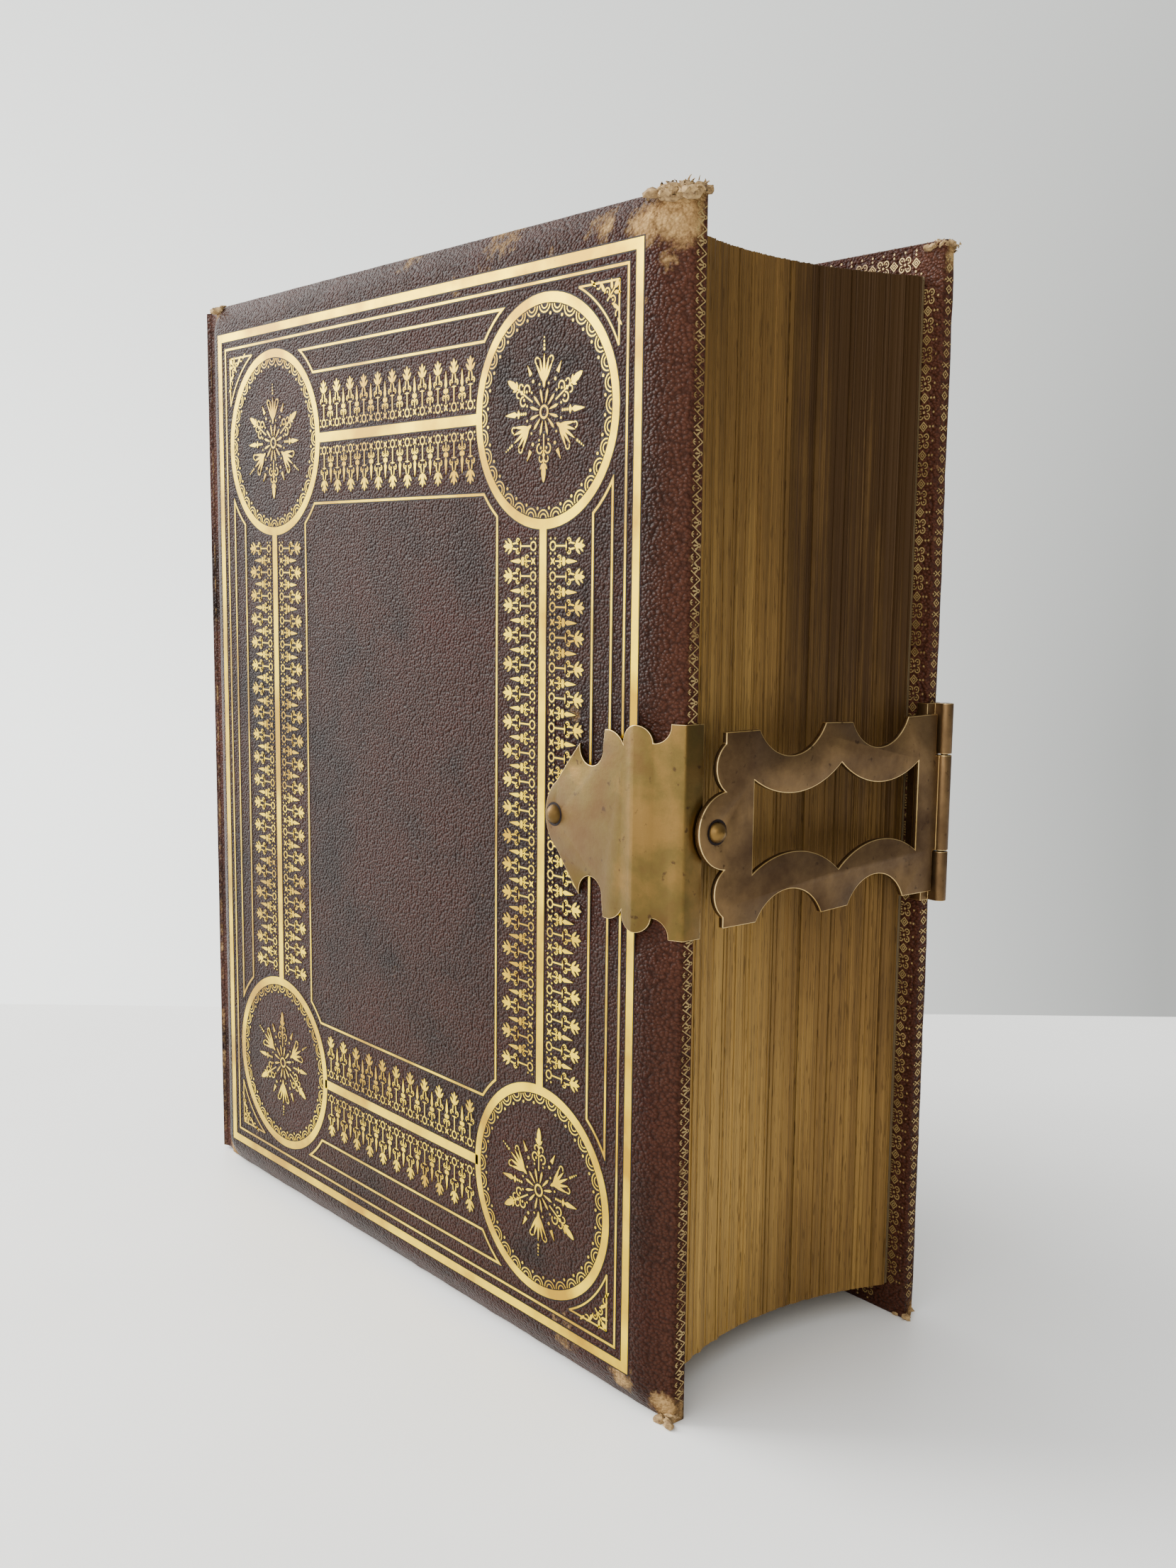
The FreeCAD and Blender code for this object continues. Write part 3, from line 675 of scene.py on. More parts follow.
class Die:
    """Flat shapes in millimetres, cut as a finisher's brass tools are, and struck on a face."""

    def __init__(self, grow: float = 0.0) -> None:
        """Starts an empty tool.

        Args:
            grow: How much wider than drawn every shape is on each side.
        """
        self.bm = bmesh.new()
        self.grow = grow
        self.count = 0

    def level(self) -> float:
        """Returns the next shape's height, a hair off the last one's, so that no tops lie in one plane."""
        self.count += 1
        return 0.006 * (self.count % 7)

    def leaf(
        self,
        u: float,
        v: float,
        length: float,
        width: float,
        angle: float = 90.0,
        taper: float = 0.0,
        steps: int = 8,
    ) -> None:
        """Adds an oval, bud, spear or lozenge.

        Args:
            u: Centre across.
            v: Centre up.
            length: Length.
            width: Width before the taper.
            angle: Way that the tip points, in degrees from u towards v.
            taper: How much the tip narrows and the foot widens, up to one.
            steps: Number of corners.
        """
        made = bmesh.ops.create_circle(self.bm, cap_ends=True, radius=1.0, segments=steps)
        turn = Matrix.Rotation(math.radians(angle), 3, "Z")
        level = self.level()
        for vert in made["verts"]:
            along, across = vert.co.y, -vert.co.x
            far = along * (length / 2 + self.grow)
            wide = across * (width / 2 + self.grow) * (1 - taper * along)
            vert.co = turn @ Vector((far, wide, 0.0)) + Vector((u, v, level))

    def dot(self, u: float, v: float, radius: float, steps: int = 6) -> None:
        """Adds a bead."""
        self.leaf(u, v, radius * 2, radius * 2, steps=steps)

    def arc(
        self,
        u: float,
        v: float,
        radius: float,
        width: float,
        start: float = 0.0,
        sweep: float = 360.0,
        steps: int = 10,
    ) -> None:
        """Adds a ring or a part of one.

        Args:
            u: Centre across.
            v: Centre up.
            radius: Radius of its middle line.
            width: Width of the line.
            start: Angle where it begins, in degrees.
            sweep: How far it goes on, in degrees.
            steps: Number of faces.
        """
        half = width / 2 + self.grow
        way = Vector((math.cos(math.radians(start)), math.sin(math.radians(start)), 0.0))
        centre = Vector((u, v, self.level()))
        ends = [self.bm.verts.new(centre + way * r) for r in (max(radius - half, 0.02), radius + half)]
        line = self.bm.edges.new(ends)
        bmesh.ops.spin(
            self.bm,
            geom=[*ends, line],
            cent=centre,
            axis=(0, 0, 1),
            angle=math.radians(sweep),
            steps=steps,
            use_merge=sweep >= 360.0,
        )

    def bar(self, u0: float, v0: float, u1: float, v1: float, width: float, steps: int = 1) -> None:
        """Adds a straight line of the given width between two points."""
        made = bmesh.ops.create_grid(self.bm, x_segments=steps, y_segments=1, size=1.0)
        run = Vector((u1 - u0, v1 - v0, 0.0))
        side = Vector((-run.y, run.x, 0.0)).normalized() * (width / 2 + self.grow)
        middle = Vector(((u0 + u1) / 2, (v0 + v1) / 2, self.level()))
        stretch = 1 + 2 * self.grow / run.length
        for vert in made["verts"]:
            vert.co = middle + run * (vert.co.x * stretch / 2) + side * vert.co.y

    def loop(self, points: Sequence[Point], width: float) -> None:
        """Adds a closed line whose outer edge runs through the points, either way round.

        Args:
            points: Corners of the outer edge.
            width: Width of the line, inwards.
        """
        area = sum(p[0] * q[1] - q[0] * p[1] for p, q in zip(points, [*points[1:], points[0]]))
        if area < 0:
            points = points[::-1]
        outer = []
        level = self.level()
        for (a, b, c) in zip([points[-1], *points[:-1]], points, [*points[1:], points[0]]):
            before = Vector((b[0] - a[0], b[1] - a[1])).normalized()
            after = Vector((c[0] - b[0], c[1] - b[1])).normalized()
            mitre = (Vector((before.y, -before.x)) + Vector((after.y, -after.x))).normalized()
            reach = self.grow / max(mitre.dot(Vector((before.y, -before.x))), 0.3)
            outer.append(self.bm.verts.new((b[0] + mitre.x * reach, b[1] + mitre.y * reach, level)))
        face = self.bm.faces.new(outer)
        face.normal_update()
        bmesh.ops.inset_region(
            self.bm, faces=[face], thickness=width + 2 * self.grow, use_even_offset=True, use_boundary=True
        )
        bmesh.ops.delete(self.bm, geom=[face], context="FACES")

    def box(self, half_u: float, half_v: float, width: float, u: float = 0.0, v: float = 0.0) -> None:
        """Adds a mitred rectangular line, half_u and half_v from its centre to its outer edge."""
        corners = [(-half_u, -half_v), (half_u, -half_v), (half_u, half_v), (-half_u, half_v)]
        self.loop([(u + a, v + b) for a, b in corners], width)

    def stamp(
        self, other: "Die", u: float = 0.0, v: float = 0.0, turn: float = 0.0, flip: bool = False
    ) -> None:
        """Strikes another tool into this one.

        Args:
            other: The tool, which stays as it is.
            u: Where its centre goes across.
            v: Where its centre goes up.
            turn: Its turn in degrees.
            flip: Whether it is struck upside down.
        """
        mesh = bpy.data.meshes.new("stamp")
        other.bm.to_mesh(mesh)
        mirror = Matrix.Diagonal((1.0, -1.0 if flip else 1.0, 1.0, 1.0))
        mesh.transform(Matrix.Translation((u, v, 0.0)) @ Matrix.Rotation(math.radians(turn), 4, "Z") @ mirror)
        self.bm.from_mesh(mesh)
        bpy.data.meshes.remove(mesh)

    def strike(self, face: Plane | Drum, lift: float, sink: float = 0.15) -> BMesh:
        """Gives the flat shapes their thickness and lays them on a face.

        Args:
            face: The face of the book.
            lift: How far they stand proud, in millimetres.
            sink: How far they reach below.

        Returns:
            The closed shapes in metres. The tool is spent.
        """
        bm = self.bm
        low = set(bm.verts)
        bmesh.ops.extrude_face_region(bm, geom=bm.faces[:], use_keep_orig=True)
        for vert in bm.verts:
            vert.co = face.place(vert.co.x, vert.co.y, -sink if vert in low else lift + vert.co.z)
        bmesh.ops.recalc_face_normals(bm, faces=bm.faces)
        return bm


@dataclass
class CoverTooling:
    """The gold design of a board's face, in millimetres from the middle of its frame."""

    half_width: float = 114.0
    half_height: float = 148.2
    band: float = 2.7
    thin: float = 0.7
    inner_line: float = 5.2
    medallion_in: float = 39.4
    ring: float = 31.0
    pitch: float = 8.15
    arc_cut: float = 34.0
    panel_gap: float = 20.6
    panel_lines: Point = (20.7, 29.1)
    bar_width: float = 3.0
    lilies: tuple[int, int] = (11, 19)
    scallops: int = 32
    beads: float = 25.5

    def sprig(self, grow: float) -> Die:
        """Makes one repeat of the border: a lily with its lace, and a spear half a pitch on."""
        die = Die(grow)
        die.arc(0, 4.3, 1.2, 0.42, steps=8)
        die.bar(0, 5.4, 0, 10.0, 0.42)
        die.leaf(0, 10.0, 2.7, 0.55, 0, steps=4)
        for way in (-1, 1):
            die.arc(way * 1.35, 11.2, 0.72, 0.38, 90 - way * 160, way * 260, steps=7)
            die.dot(way * 1.35, 11.2, 0.24, 4)
            die.leaf(way * 0.75, 12.7, 2.3, 0.55, 90 + way * 8, steps=6)
            die.leaf(way * 1.35, 14.9, 2.6, 0.85, 90 - way * 42, 0.3, 6)
            die.leaf(way * 0.95, 16.4, 2.0, 0.7, 90 - way * 40, 0.3, 5)
            die.dot(way * 2.0, 3.35, 0.34, 4)
            die.dot(way * 2.0, 5.3, 0.34, 4)
        die.leaf(0, 15.7, 4.4, 1.5, 90, 0.35, 8)
        return die

    def spear(self, grow: float) -> Die:
        """Makes the spear that stands between two lilies, with the knot of lace below it."""
        die = Die(grow)
        for way in (-1, 1):
            die.leaf(0, 4.3, 2.7, 0.62, 90 + way * 45, steps=6)
            die.arc(way * 0.95, 7.1, 0.68, 0.36, 90 - way * 170, way * 250, steps=7)
            die.dot(way * 0.95, 7.1, 0.22, 4)
            die.dot(way * 0.52, 9.0, 0.72, 6)
        die.bar(0, 5.4, 0, 8.4, 0.36)
        die.leaf(0, 12.1, 5.2, 1.1, 90, 0.85, 6)
        return die

    def row(self, count: int, grow: float) -> Die:
        """Sets lilies and spears along one side of a bar.

        Args:
            count: Number of lilies.
            grow: Extra width of every shape.

        Returns:
            The row, centred, growing up.
        """
        die = Die(grow)
        sprig, spear = self.sprig(grow), self.spear(grow)
        start = -(count - 1) / 2 * self.pitch
        for i in range(count):
            die.stamp(sprig, start + i * self.pitch)
            if i + 1 < count:
                die.stamp(spear, start + (i + 0.5) * self.pitch)
        return die

    def rosette(self, grow: float) -> Die:
        """Makes a medallion's flower: petals, three fans, three buds and six arrowheads."""
        die = Die(grow)
        die.arc(0, 0, 1.6, 0.6, steps=14)
        for i in range(12):
            angle = 15 + i * 30
            way = heading(angle)
            die.leaf(way.x * 4.3, way.y * 4.3, 4.0, 0.72, angle, -0.5, 6)
            die.dot(way.x * 7.6, way.y * 7.6, 0.36, 5)
        fan, bud, arrow, lance = Die(grow), Die(grow), Die(grow), Die(grow)
        for spread in (-34, -17, 0, 17, 34):
            reach = 7.6 - abs(spread) * 0.035
            base = Vector((0, 7.6)) + heading(90 + spread) * reach / 2
            fan.leaf(base.x, base.y, reach, 0.95, 90 + spread, 0.5, 7)
        fan.leaf(0, 7.4, 2.2, 1.1, 90, -0.4, 6)
        for i in range(4):
            fan.dot(0, 16.4 + i * 1.0, 0.42 - 0.06 * i, 5)
        for way in (-1, 1):
            fan.arc(way * 3.1, 13.6, 0.8, 0.36, 90 + way * 60, -way * 230, steps=7)
            bud.arc(way * 1.7, 9.6, 1.25, 0.42, 90 + way * 70, -way * 250, steps=9)
            bud.dot(way * 1.2, 9.4, 0.4, 5)
            bud.arc(way * 1.1, 12.3, 0.85, 0.36, -90 + way * 40, way * 220, steps=7)
            bud.leaf(way * 0.9, 14.3, 2.0, 0.75, 90 - way * 40, 0.3, 6)
        bud.bar(0, 5.8, 0, 14.0, 0.42)
        bud.leaf(0, 11.3, 1.7, 1.3, 90, steps=4)
        bud.leaf(0, 16.2, 4.8, 1.9, 90, 0.35, 8)
        arrow.leaf(0, 12.6, 4.2, 1.5, 90, steps=3)
        arrow.dot(0, 9.6, 0.5, 6)
        lance.leaf(0, 14.4, 5.6, 1.3, 90, 0.8, 6)
        lance.leaf(0, 11.2, 1.5, 2.4, 90, steps=4)
        for i in range(3):
            lance.dot(0, 8.0 + i * 0.95, 0.42, 5)
        for turn in (0, 120, 240):
            die.stamp(fan, turn=turn)
            die.stamp(bud, turn=turn + 60)
        for turn in (30, -30, 150, 210):
            die.stamp(arrow, turn=turn)
        for turn in (90, -90):
            die.stamp(lance, turn=turn)
        return die

    def medallion(self, grow: float) -> Die:
        """Makes a corner medallion: a broad ring, lined with double scallops and beads, round the rosette."""
        die = Die(grow)
        die.arc(0, 0, self.ring - self.band / 2, self.band, steps=72)
        for i in range(self.scallops):
            angle = 360 / self.scallops * i
            at = heading(angle) * (self.ring - self.band - 0.1)
            die.arc(at.x, at.y, 2.35, 0.36, angle + 100, 160, steps=7)
            die.arc(at.x, at.y, 1.35, 0.32, angle + 100, 160, steps=5)
            bead = heading(angle + 180 / self.scallops) * self.beads
            die.dot(bead.x, bead.y, 0.46, 5)
        die.stamp(self.rosette(grow))
        return die

    def spandrel(self, grow: float) -> Die:
        """Makes the small leaf-filled corner outside a medallion, for the corner up and to the right."""
        die = Die(grow)
        corner, cut = 30.4, 33.6
        meet = math.sqrt(cut * cut - corner * corner)
        die.bar(meet, corner, corner, corner, 0.5)
        die.bar(corner, meet, corner, corner, 0.5)
        begin = math.degrees(math.atan2(meet, corner))
        die.arc(0, 0, cut, 0.5, begin, 90 - 2 * begin, steps=12)
        heart = Die(grow)
        heart.bar(0, 0.6, 0, 5.0, 0.4)
        heart.leaf(0, 6.2, 2.8, 1.4, 90, 0.3, 7)
        for way in (-1, 1):
            heart.leaf(way * 1.6, 4.7, 2.8, 0.95, 90 - way * 50, 0.3, 6)
            heart.arc(way * 1.5, 2.2, 1.0, 0.38, 90 - way * 150, way * 250, steps=8)
            heart.dot(way * 1.5, 2.2, 0.32, 5)
            heart.leaf(way * 3.9, 1.9, 3.2, 1.0, 90 - way * 75, 0.3, 6)
            heart.arc(way * 5.4, 1.1, 0.85, 0.36, 90 - way * 60, way * 240, steps=7)
            heart.leaf(way * 7.4, 0.2, 2.6, 0.8, 90 - way * 92, 0.3, 6)
        die.stamp(heart, 25.2, 25.2, -45)
        return die

    def cut_end(self, long_at: float, near: float, far: float) -> list[Point]:
        """Follows the arc that cuts a line's end short of a medallion.

        Args:
            long_at: Place of the medallion's centre along the line.
            near: Distance of the first line from the medallion's centre.
            far: Distance of the second line from it.

        Returns:
            Points from near to far: along the line from the centre, and across it.
        """
        begin, end = math.asin(near / self.arc_cut), math.asin(far / self.arc_cut)
        turns = [begin + (end - begin) * i / 4 for i in range(5)]
        return [(long_at - self.arc_cut * math.cos(t), self.arc_cut * math.sin(t)) for t in turns]

    def panels(self, die: Die) -> None:
        """Adds the long line panels outside the borders and the inner panel with its cut corners."""
        cu, cv = self.half_width - self.medallion_in, self.half_height - self.medallion_in
        for span, other, upright in ((cu, cv, False), (cv, cu, True)):
            half = self.cut_end(span, *self.panel_lines)
            ring = [(a, other + b) for a, b in half] + [(-a, other + b) for a, b in reversed(half)]
            for way in (-1, 1):
                points = [(a, b * way) for a, b in ring]
                die.loop([(b, a) for a, b in points] if upright else points, self.thin)
        start = math.degrees(math.asin(self.panel_gap / self.arc_cut))
        middle = Vector((cu, cv))
        turns = [start + (90 - 2 * start) * i / 4 for i in range(5)]
        corner = [tuple(middle - heading(turn) * self.arc_cut) for turn in turns]
        path: list[Point] = []
        for su, sv in ((1, 1), (-1, 1), (-1, -1), (1, -1)):
            part = [(u * su, v * sv) for u, v in corner]
            path += part if (su * sv > 0) == (corner[0][0] > corner[-1][0]) else part[::-1]
        die.loop(path, self.thin)

    def draw(self, grow: float) -> Die:
        """Draws the whole design.

        Args:
            grow: Extra width on each side: nought for the gold, a little for the scorched line of painted
                shade round it.

        Returns:
            The finished tool.
        """
        die = Die(grow)
        die.box(self.half_width, self.half_height, self.band)
        die.box(self.half_width - self.inner_line, self.half_height - self.inner_line, self.thin)
        self.panels(die)
        cu, cv = self.half_width - self.medallion_in, self.half_height - self.medallion_in
        medallion, spandrel = self.medallion(grow), self.spandrel(grow)
        short, tall = (self.row(count, grow) for count in self.lilies)
        reach = self.ring - self.band / 2
        turns = {(1, 1): 0, (-1, 1): 90, (-1, -1): 180, (1, -1): 270}
        for sv in (-1, 1):
            die.bar(-cu + reach, sv * cv, cu - reach, sv * cv, self.bar_width)
            for su in (-1, 1):
                die.stamp(medallion, su * cu, sv * cv, flip=sv < 0)
                die.stamp(spandrel, su * cu, sv * cv, turns[su, sv])
            die.stamp(short, 0, sv * cv)
            die.stamp(short, 0, sv * cv, 180)
        for su in (-1, 1):
            die.bar(su * cu, -cv + reach, su * cu, cv - reach, self.bar_width)
            die.stamp(tall, su * cu, 0, 90)
            die.stamp(tall, su * cu, 0, -90)
        return die


@dataclass
class EdgeTooling:
    """The rolls run along the boards' edges and the lacework inside them."""

    roll: float = 5.6
    lace: float = 8.0

    def fans(self, length: float, grow: float) -> Die:
        """Makes the edge roll: a running zigzag with a fan in every bay.

        Args:
            length: Length to fill.
            grow: Extra width of every shape.

        Returns:
            The roll, centred, along u.
        """
        cell = Die(grow)
        half = self.roll / 2
        cell.bar(-half, -1.6, -0.55, 1.5, 0.26)
        cell.bar(0.55, 1.5, half, -1.6, 0.26)
        for spread in (-38, 0, 38):
            lean = math.sin(math.radians(spread))
            cell.leaf(lean * 1.25, 0.15 - abs(lean) * 0.5, 1.75, 0.5, 90 - spread, -0.45, 6)
            cell.leaf(half - lean * 0.75, 1.25, 1.15, 0.34, -90 - spread, 0.3, 4)
        cell.arc(0, -1.0, 0.42, 0.24, steps=8)
        cell.dot(half, -0.35, 0.24, 4)
        return self.fill(cell, self.roll, length)

    def diamonds(self, length: float, grow: float) -> Die:
        """Makes the plainer edge roll: lozenges and crosses by turns."""
        cell = Die(grow)
        cell.loop([(-1.3, 0), (0, -1.3), (1.3, 0), (0, 1.3)], 0.3)
        cell.dot(0, 0, 0.3, 4)
        for way in (-1, 1):
            cell.bar(1.9, -1.1 * way, 3.3, 1.1 * way, 0.3)
            cell.dot(2.6, way * 1.5, 0.28, 4)
        return self.fill(cell, self.roll * 1.04, length)

    def lacework(self, length: float, grow: float) -> Die:
        """Makes the lace inside the board: scroll crosses and beaded lozenges, with hanging drops."""
        cell = Die(grow)
        for turn in (45, 135, 225, 315):
            way = heading(turn)
            cell.arc(way.x * 1.6, way.y * 1.6, 0.85, 0.34, turn - 150, 285, 9)
            cell.dot(way.x * 1.6, way.y * 1.6, 0.3, 4)
        cell.dot(0, 0, 0.42, 5)
        side = self.lace / 2
        cell.loop([(side - 1.5, 0), (side, -1.5), (side + 1.5, 0), (side, 1.5)], 0.3)
        cell.loop([(side - 0.7, 0), (side, -0.7), (side + 0.7, 0), (side, 0.7)], 0.25)
        for way in (-1, 1):
            cell.dot(side, way * 2.3, 0.36, 5)
        for drop in (0, self.lace / 2):
            cell.leaf(drop, -4.0, 2.0, 0.7, -90, -0.4, 6)
            cell.dot(drop, 3.4, 0.36, 5)
            cell.dot(drop + self.lace / 4, -3.2, 0.34, 4)
        return self.fill(cell, self.lace, length)

    @staticmethod
    def fill(cell: Die, pitch: float, length: float) -> Die:
        """Repeats a cell along a length.

        Args:
            cell: One repeat.
            pitch: Its spacing.
            length: Length to fill.

        Returns:
            The run, centred on nought.
        """
        die = Die(cell.grow)
        count = int(length / pitch)
        for i in range(count):
            die.stamp(cell, (i - (count - 1) / 2) * pitch)
        return die


# ---------------------------------------------------------------- the covers


@dataclass
class Wear:
    """Where the leather is rubbed or torn: spots given as x, z, spread and strength, in millimetres."""

    spots: tuple[tuple[float, float, float, float], ...]
    rim: float = 0.34

    def at(self, x: float, z: float, edge: float) -> float:
        """Returns how worn a point is, given how far it is from the board's edge."""
        level = self.rim * math.exp(-edge / 1.6)
        for sx, sz, spread, strength in self.spots:
            away = math.hypot(x - sx, z - sz) / spread
            level = max(level, strength * math.exp(-away * away))
        return level


FRONT_WEAR = Wear(
    spots=(
        (133.0, 317.0, 16.0, 1.0), (121.0, 310.0, 9.0, 0.76), (127.0, 300.0, 7.0, 0.5),
        (104.0, 311.5, 9.0, 0.58), (84.0, 309.0, 7.0, 0.5), (60.0, 315.5, 16.0, 0.52),
        (121.5, 292.0, 4.0, 0.5), (10.0, 316.0, 20.0, 0.42), (-114.0, 314.0, 6.0, 0.62),
        (118.0, 8.0, 8.0, 0.55), (132.0, 2.0, 7.0, 0.85), (-116.0, 3.0, 6.0, 0.8),
        (95.0, 9.0, 14.0, 0.45), (-117.0, 160.0, 4.0, 0.55), (40.0, 303.0, 10.0, 0.40),
        (85.0, 188.0, 4.0, 0.6), (96.0, 187.0, 5.0, 0.66),
    )
)
BACK_WEAR = Wear(
    spots=(
        (132.0, 316.0, 8.0, 0.9), (-116.0, 315.0, 6.0, 0.7), (132.0, 2.0, 6.0, 0.8),
        (-116.0, 2.0, 6.0, 0.7),
    )
)


@dataclass
class Cover:
    """One board in its leather: the cushioned face, the edges, the turn-ins and all the gold."""

    side: Side
    wear: Wear
    face: float = 55.0
    rim: float = 50.0
    inside: float = 45.5
    fore_bevel: float = 12.8
    spine_bevel: float = 11.2
    end_bevel: float = 10.2
    turn_in: float = 12.0
    recess: float = 0.35
    plate_middle: float = 159.5
    plate_half: float = 29.5
    plate_ease: float = 2.5
    plate_bevel: float = 13.0
    plate_sink: float = 0.03
    frame_centre: Point = (7.2, 158.5)
    columns: int = 84
    rows: int = 104
    edge_share: float = 0.42
    edge_zone: float = 17.0
    plate_from: float = 80.0
    margin: float = 5.2
    corner_ease: float = 0.75
    roll_gap: float = 8.0
    lace_gap: float = 18.0
    ruck_reach: float = 9.0
    box: tuple[Vector, Vector] = field(init=False)

    def __post_init__(self) -> None:
        """Takes the board's outline from the frame."""
        self.box = box_of(f"{self.side.label}_leather")

    def spread(self, t: float, low: float, high: float) -> float:
        """Places a grid line: close together near the edges, wide apart between.

        Args:
            t: From minus one to one.
            low: Lower end of the board.
            high: Upper end.

        Returns:
            The line's place in millimetres.
        """
        half = (high - low) / 2
        knee = 1 - self.edge_share
        size = abs(t)
        if size <= knee:
            reach = size / knee * (half - self.edge_zone)
        else:
            reach = half - self.edge_zone + (size - knee) / self.edge_share * self.edge_zone
        return (low + high) / 2 + math.copysign(reach, t)

    def depth(self, x: float, z: float) -> float:
        """Returns how far out the cushioned face stands at a point of the board."""
        low, high = self.box
        fore = (high.x - x) / self.fore_bevel
        pressed = 1 - rise((abs(z - self.plate_middle) - self.plate_half) / self.plate_ease)
        flat = min((high.x - x) / self.plate_bevel, 1.0) - self.plate_sink
        swell = rise(fore)
        swell += (min(swell, flat) - swell) * pressed
        across = rise((x - low.x) / self.spine_bevel)
        if x > self.plate_from:
            across = min(swell, across)
        along = min(rise((high.z - z) / self.end_bevel), rise((z - low.z) / self.end_bevel))
        return self.rim + (self.face - self.rim) * across * along

    def skin(self) -> None:
        """Makes the leather over the board, turned in round its edges."""
        bm = bmesh.new()
        wear = bm.verts.layers.float.new("wear")
        handled_and_lit = bm.verts.layers.float.new("handled_and_lit")
        low, high = self.box
        way = self.side.value
        bmesh.ops.create_grid(bm, x_segments=self.columns, y_segments=self.rows, size=1.0)
        for vert in bm.verts:
            x = self.spread(vert.co.x, low.x, high.x)
            z = self.spread(vert.co.y, low.z, high.z)
            edge = min(high.x - x, x - low.x, high.z - z, z - low.z)
            vert[wear] = self.wear.at(x, z, edge)
            # Hands open the book by its fore edge, above the clasp more than below it; the same mask paints
            # light on the fore-edge bevel and the rims, stronger higher up.
            aloft = 0.4 + 0.6 * (z - low.z) / (high.z - low.z)
            gripped = max(0.0, 1 - max(high.x - x - 4, 0) / 9)
            vert[handled_and_lit] = 0.6 * aloft * gripped + 0.3 * max(0.0, 1 - edge / 8)
            near = max(0.0, 1 - edge / self.ruck_reach)
            ruck = noise.noise(Vector((x, z, 40.0 * way)) * 0.16) * 0.32 * near
            ruck += noise.noise(Vector((x, z, 9.0)) * 0.55) * 0.8 * max(0.0, vert[wear] - 0.55)
            vert.co = Vector((x, way * (self.depth(x, z) + ruck), z))
        middle = (low + high) / 2
        rim = [e for e in bm.edges if e.is_boundary]
        corners = rim[:]
        for step in range(3):
            made = bmesh.ops.extrude_edge_only(bm, edges=rim)
            verts = [g for g in made["geom"] if isinstance(g, bmesh.types.BMVert)]
            rim = [g for g in made["geom"] if isinstance(g, bmesh.types.BMEdge) and g.is_boundary]
            for vert in verts:
                if step == 0:
                    vert.co.y = way * self.inside
                    vert[wear] = min(vert[wear], 0.3)
                elif step == 1:
                    for axis in (0, 2):
                        shrink = 1 - 2 * self.turn_in / (high[axis] - low[axis])
                        vert.co[axis] = middle[axis] + (vert.co[axis] - middle[axis]) * shrink
                    vert[wear] = 0.0
                else:
                    vert.co.y = way * (self.inside + self.recess)
            if step == 0:
                corners += rim
        bmesh.ops.contextual_create(bm, geom=rim)
        bmesh.ops.bevel(
            bm,
            geom=corners,
            offset=self.corner_ease,
            segments=3,
            profile=0.5,
            affect="EDGES",
            material=-1,
            clamp_overlap=True,
        )
        body, name = f"{self.side.label}_cover", f"{self.side.label}_morocco"
        piece(name, settle(bm), [MOROCCO], body, [f"{self.side.label}_leather"], smooth_angle=60.0)

    def faces(self) -> dict[str, tuple[Plane, float]]:
        """Returns the board's edge faces and inner margins by name, with their lengths."""
        low, high = self.box
        way = self.side.value
        edge, inner = way * (self.rim + self.inside) / 2, way * self.inside
        ex, ey, ez = Vector((1, 0, 0)), Vector((0, 1, 0)), Vector((0, 0, 1))
        middle = (low + high) / 2
        height, width = high.z - low.z, high.x - low.x

        def face(x: float, y: float, z: float, right: Vector, up: Vector) -> Plane:
            """Returns the face through a point."""
            return Plane(Vector((x, y, z)), right, up)

        return {
            "fore_edge": (face(high.x, edge, middle.z, ez, -ey), height),
            "head_edge": (face(middle.x, edge, high.z, ex, ey), width),
            "fore_margin": (face(high.x - self.margin, inner, middle.z, -ez * way, ex), height),
            "spine_margin": (face(low.x + self.margin, inner, middle.z, ez * way, -ex), height),
            "head_margin": (face(middle.x, inner, high.z - self.margin, ex * way, ez), width),
            "tail_margin": (face(middle.x, inner, low.z + self.margin, -ex * way, -ez), width),
        }

    def gold(self) -> None:
        """Strikes the face's design over its scorched line of painted shade, then the edge rolls and the
        inner lace.
        """
        label = self.side.label
        way = self.side.value
        cx, cz = self.frame_centre
        face = Plane(Vector((cx, way * self.face, cz)), Vector((-way, 0, 0)), Vector((0, 0, 1)))
        design = CoverTooling()
        body = f"{label}_cover"
        # The wider dark copy under the gold is scorched leather and painted shade round each pressed mark.
        piece(f"{label}_blind_lines", design.draw(0.42).strike(face, 0.02), [BLIND_AND_SHADE], body)
        piece(f"{label}_gold_design", design.draw(0.0).strike(face, 0.07), [GOLD], body)
        rolls = EdgeTooling()
        for name, (plane, length) in self.faces().items():
            make, gap = rolls.lacework, self.lace_gap
            if name.endswith("edge"):
                make, gap = rolls.fans if self.side is Side.FRONT else rolls.diamonds, self.roll_gap
            run = make(length - gap, 0.0).strike(plane, 0.06)
            piece(f"{label}_{name}_roll", run, [EDGE_GOLD], body)

    def build(self) -> None:
        """Builds the cover's leather and gold and dresses its inner parts."""
        self.skin()
        self.gold()
        label = self.side.label
        repaint(f"{label}_board", RAW_BOARD)
        repaint(f"{label}_infill", RAW_BOARD)
        repaint(f"{label}_pastedown", ENDPAPER)


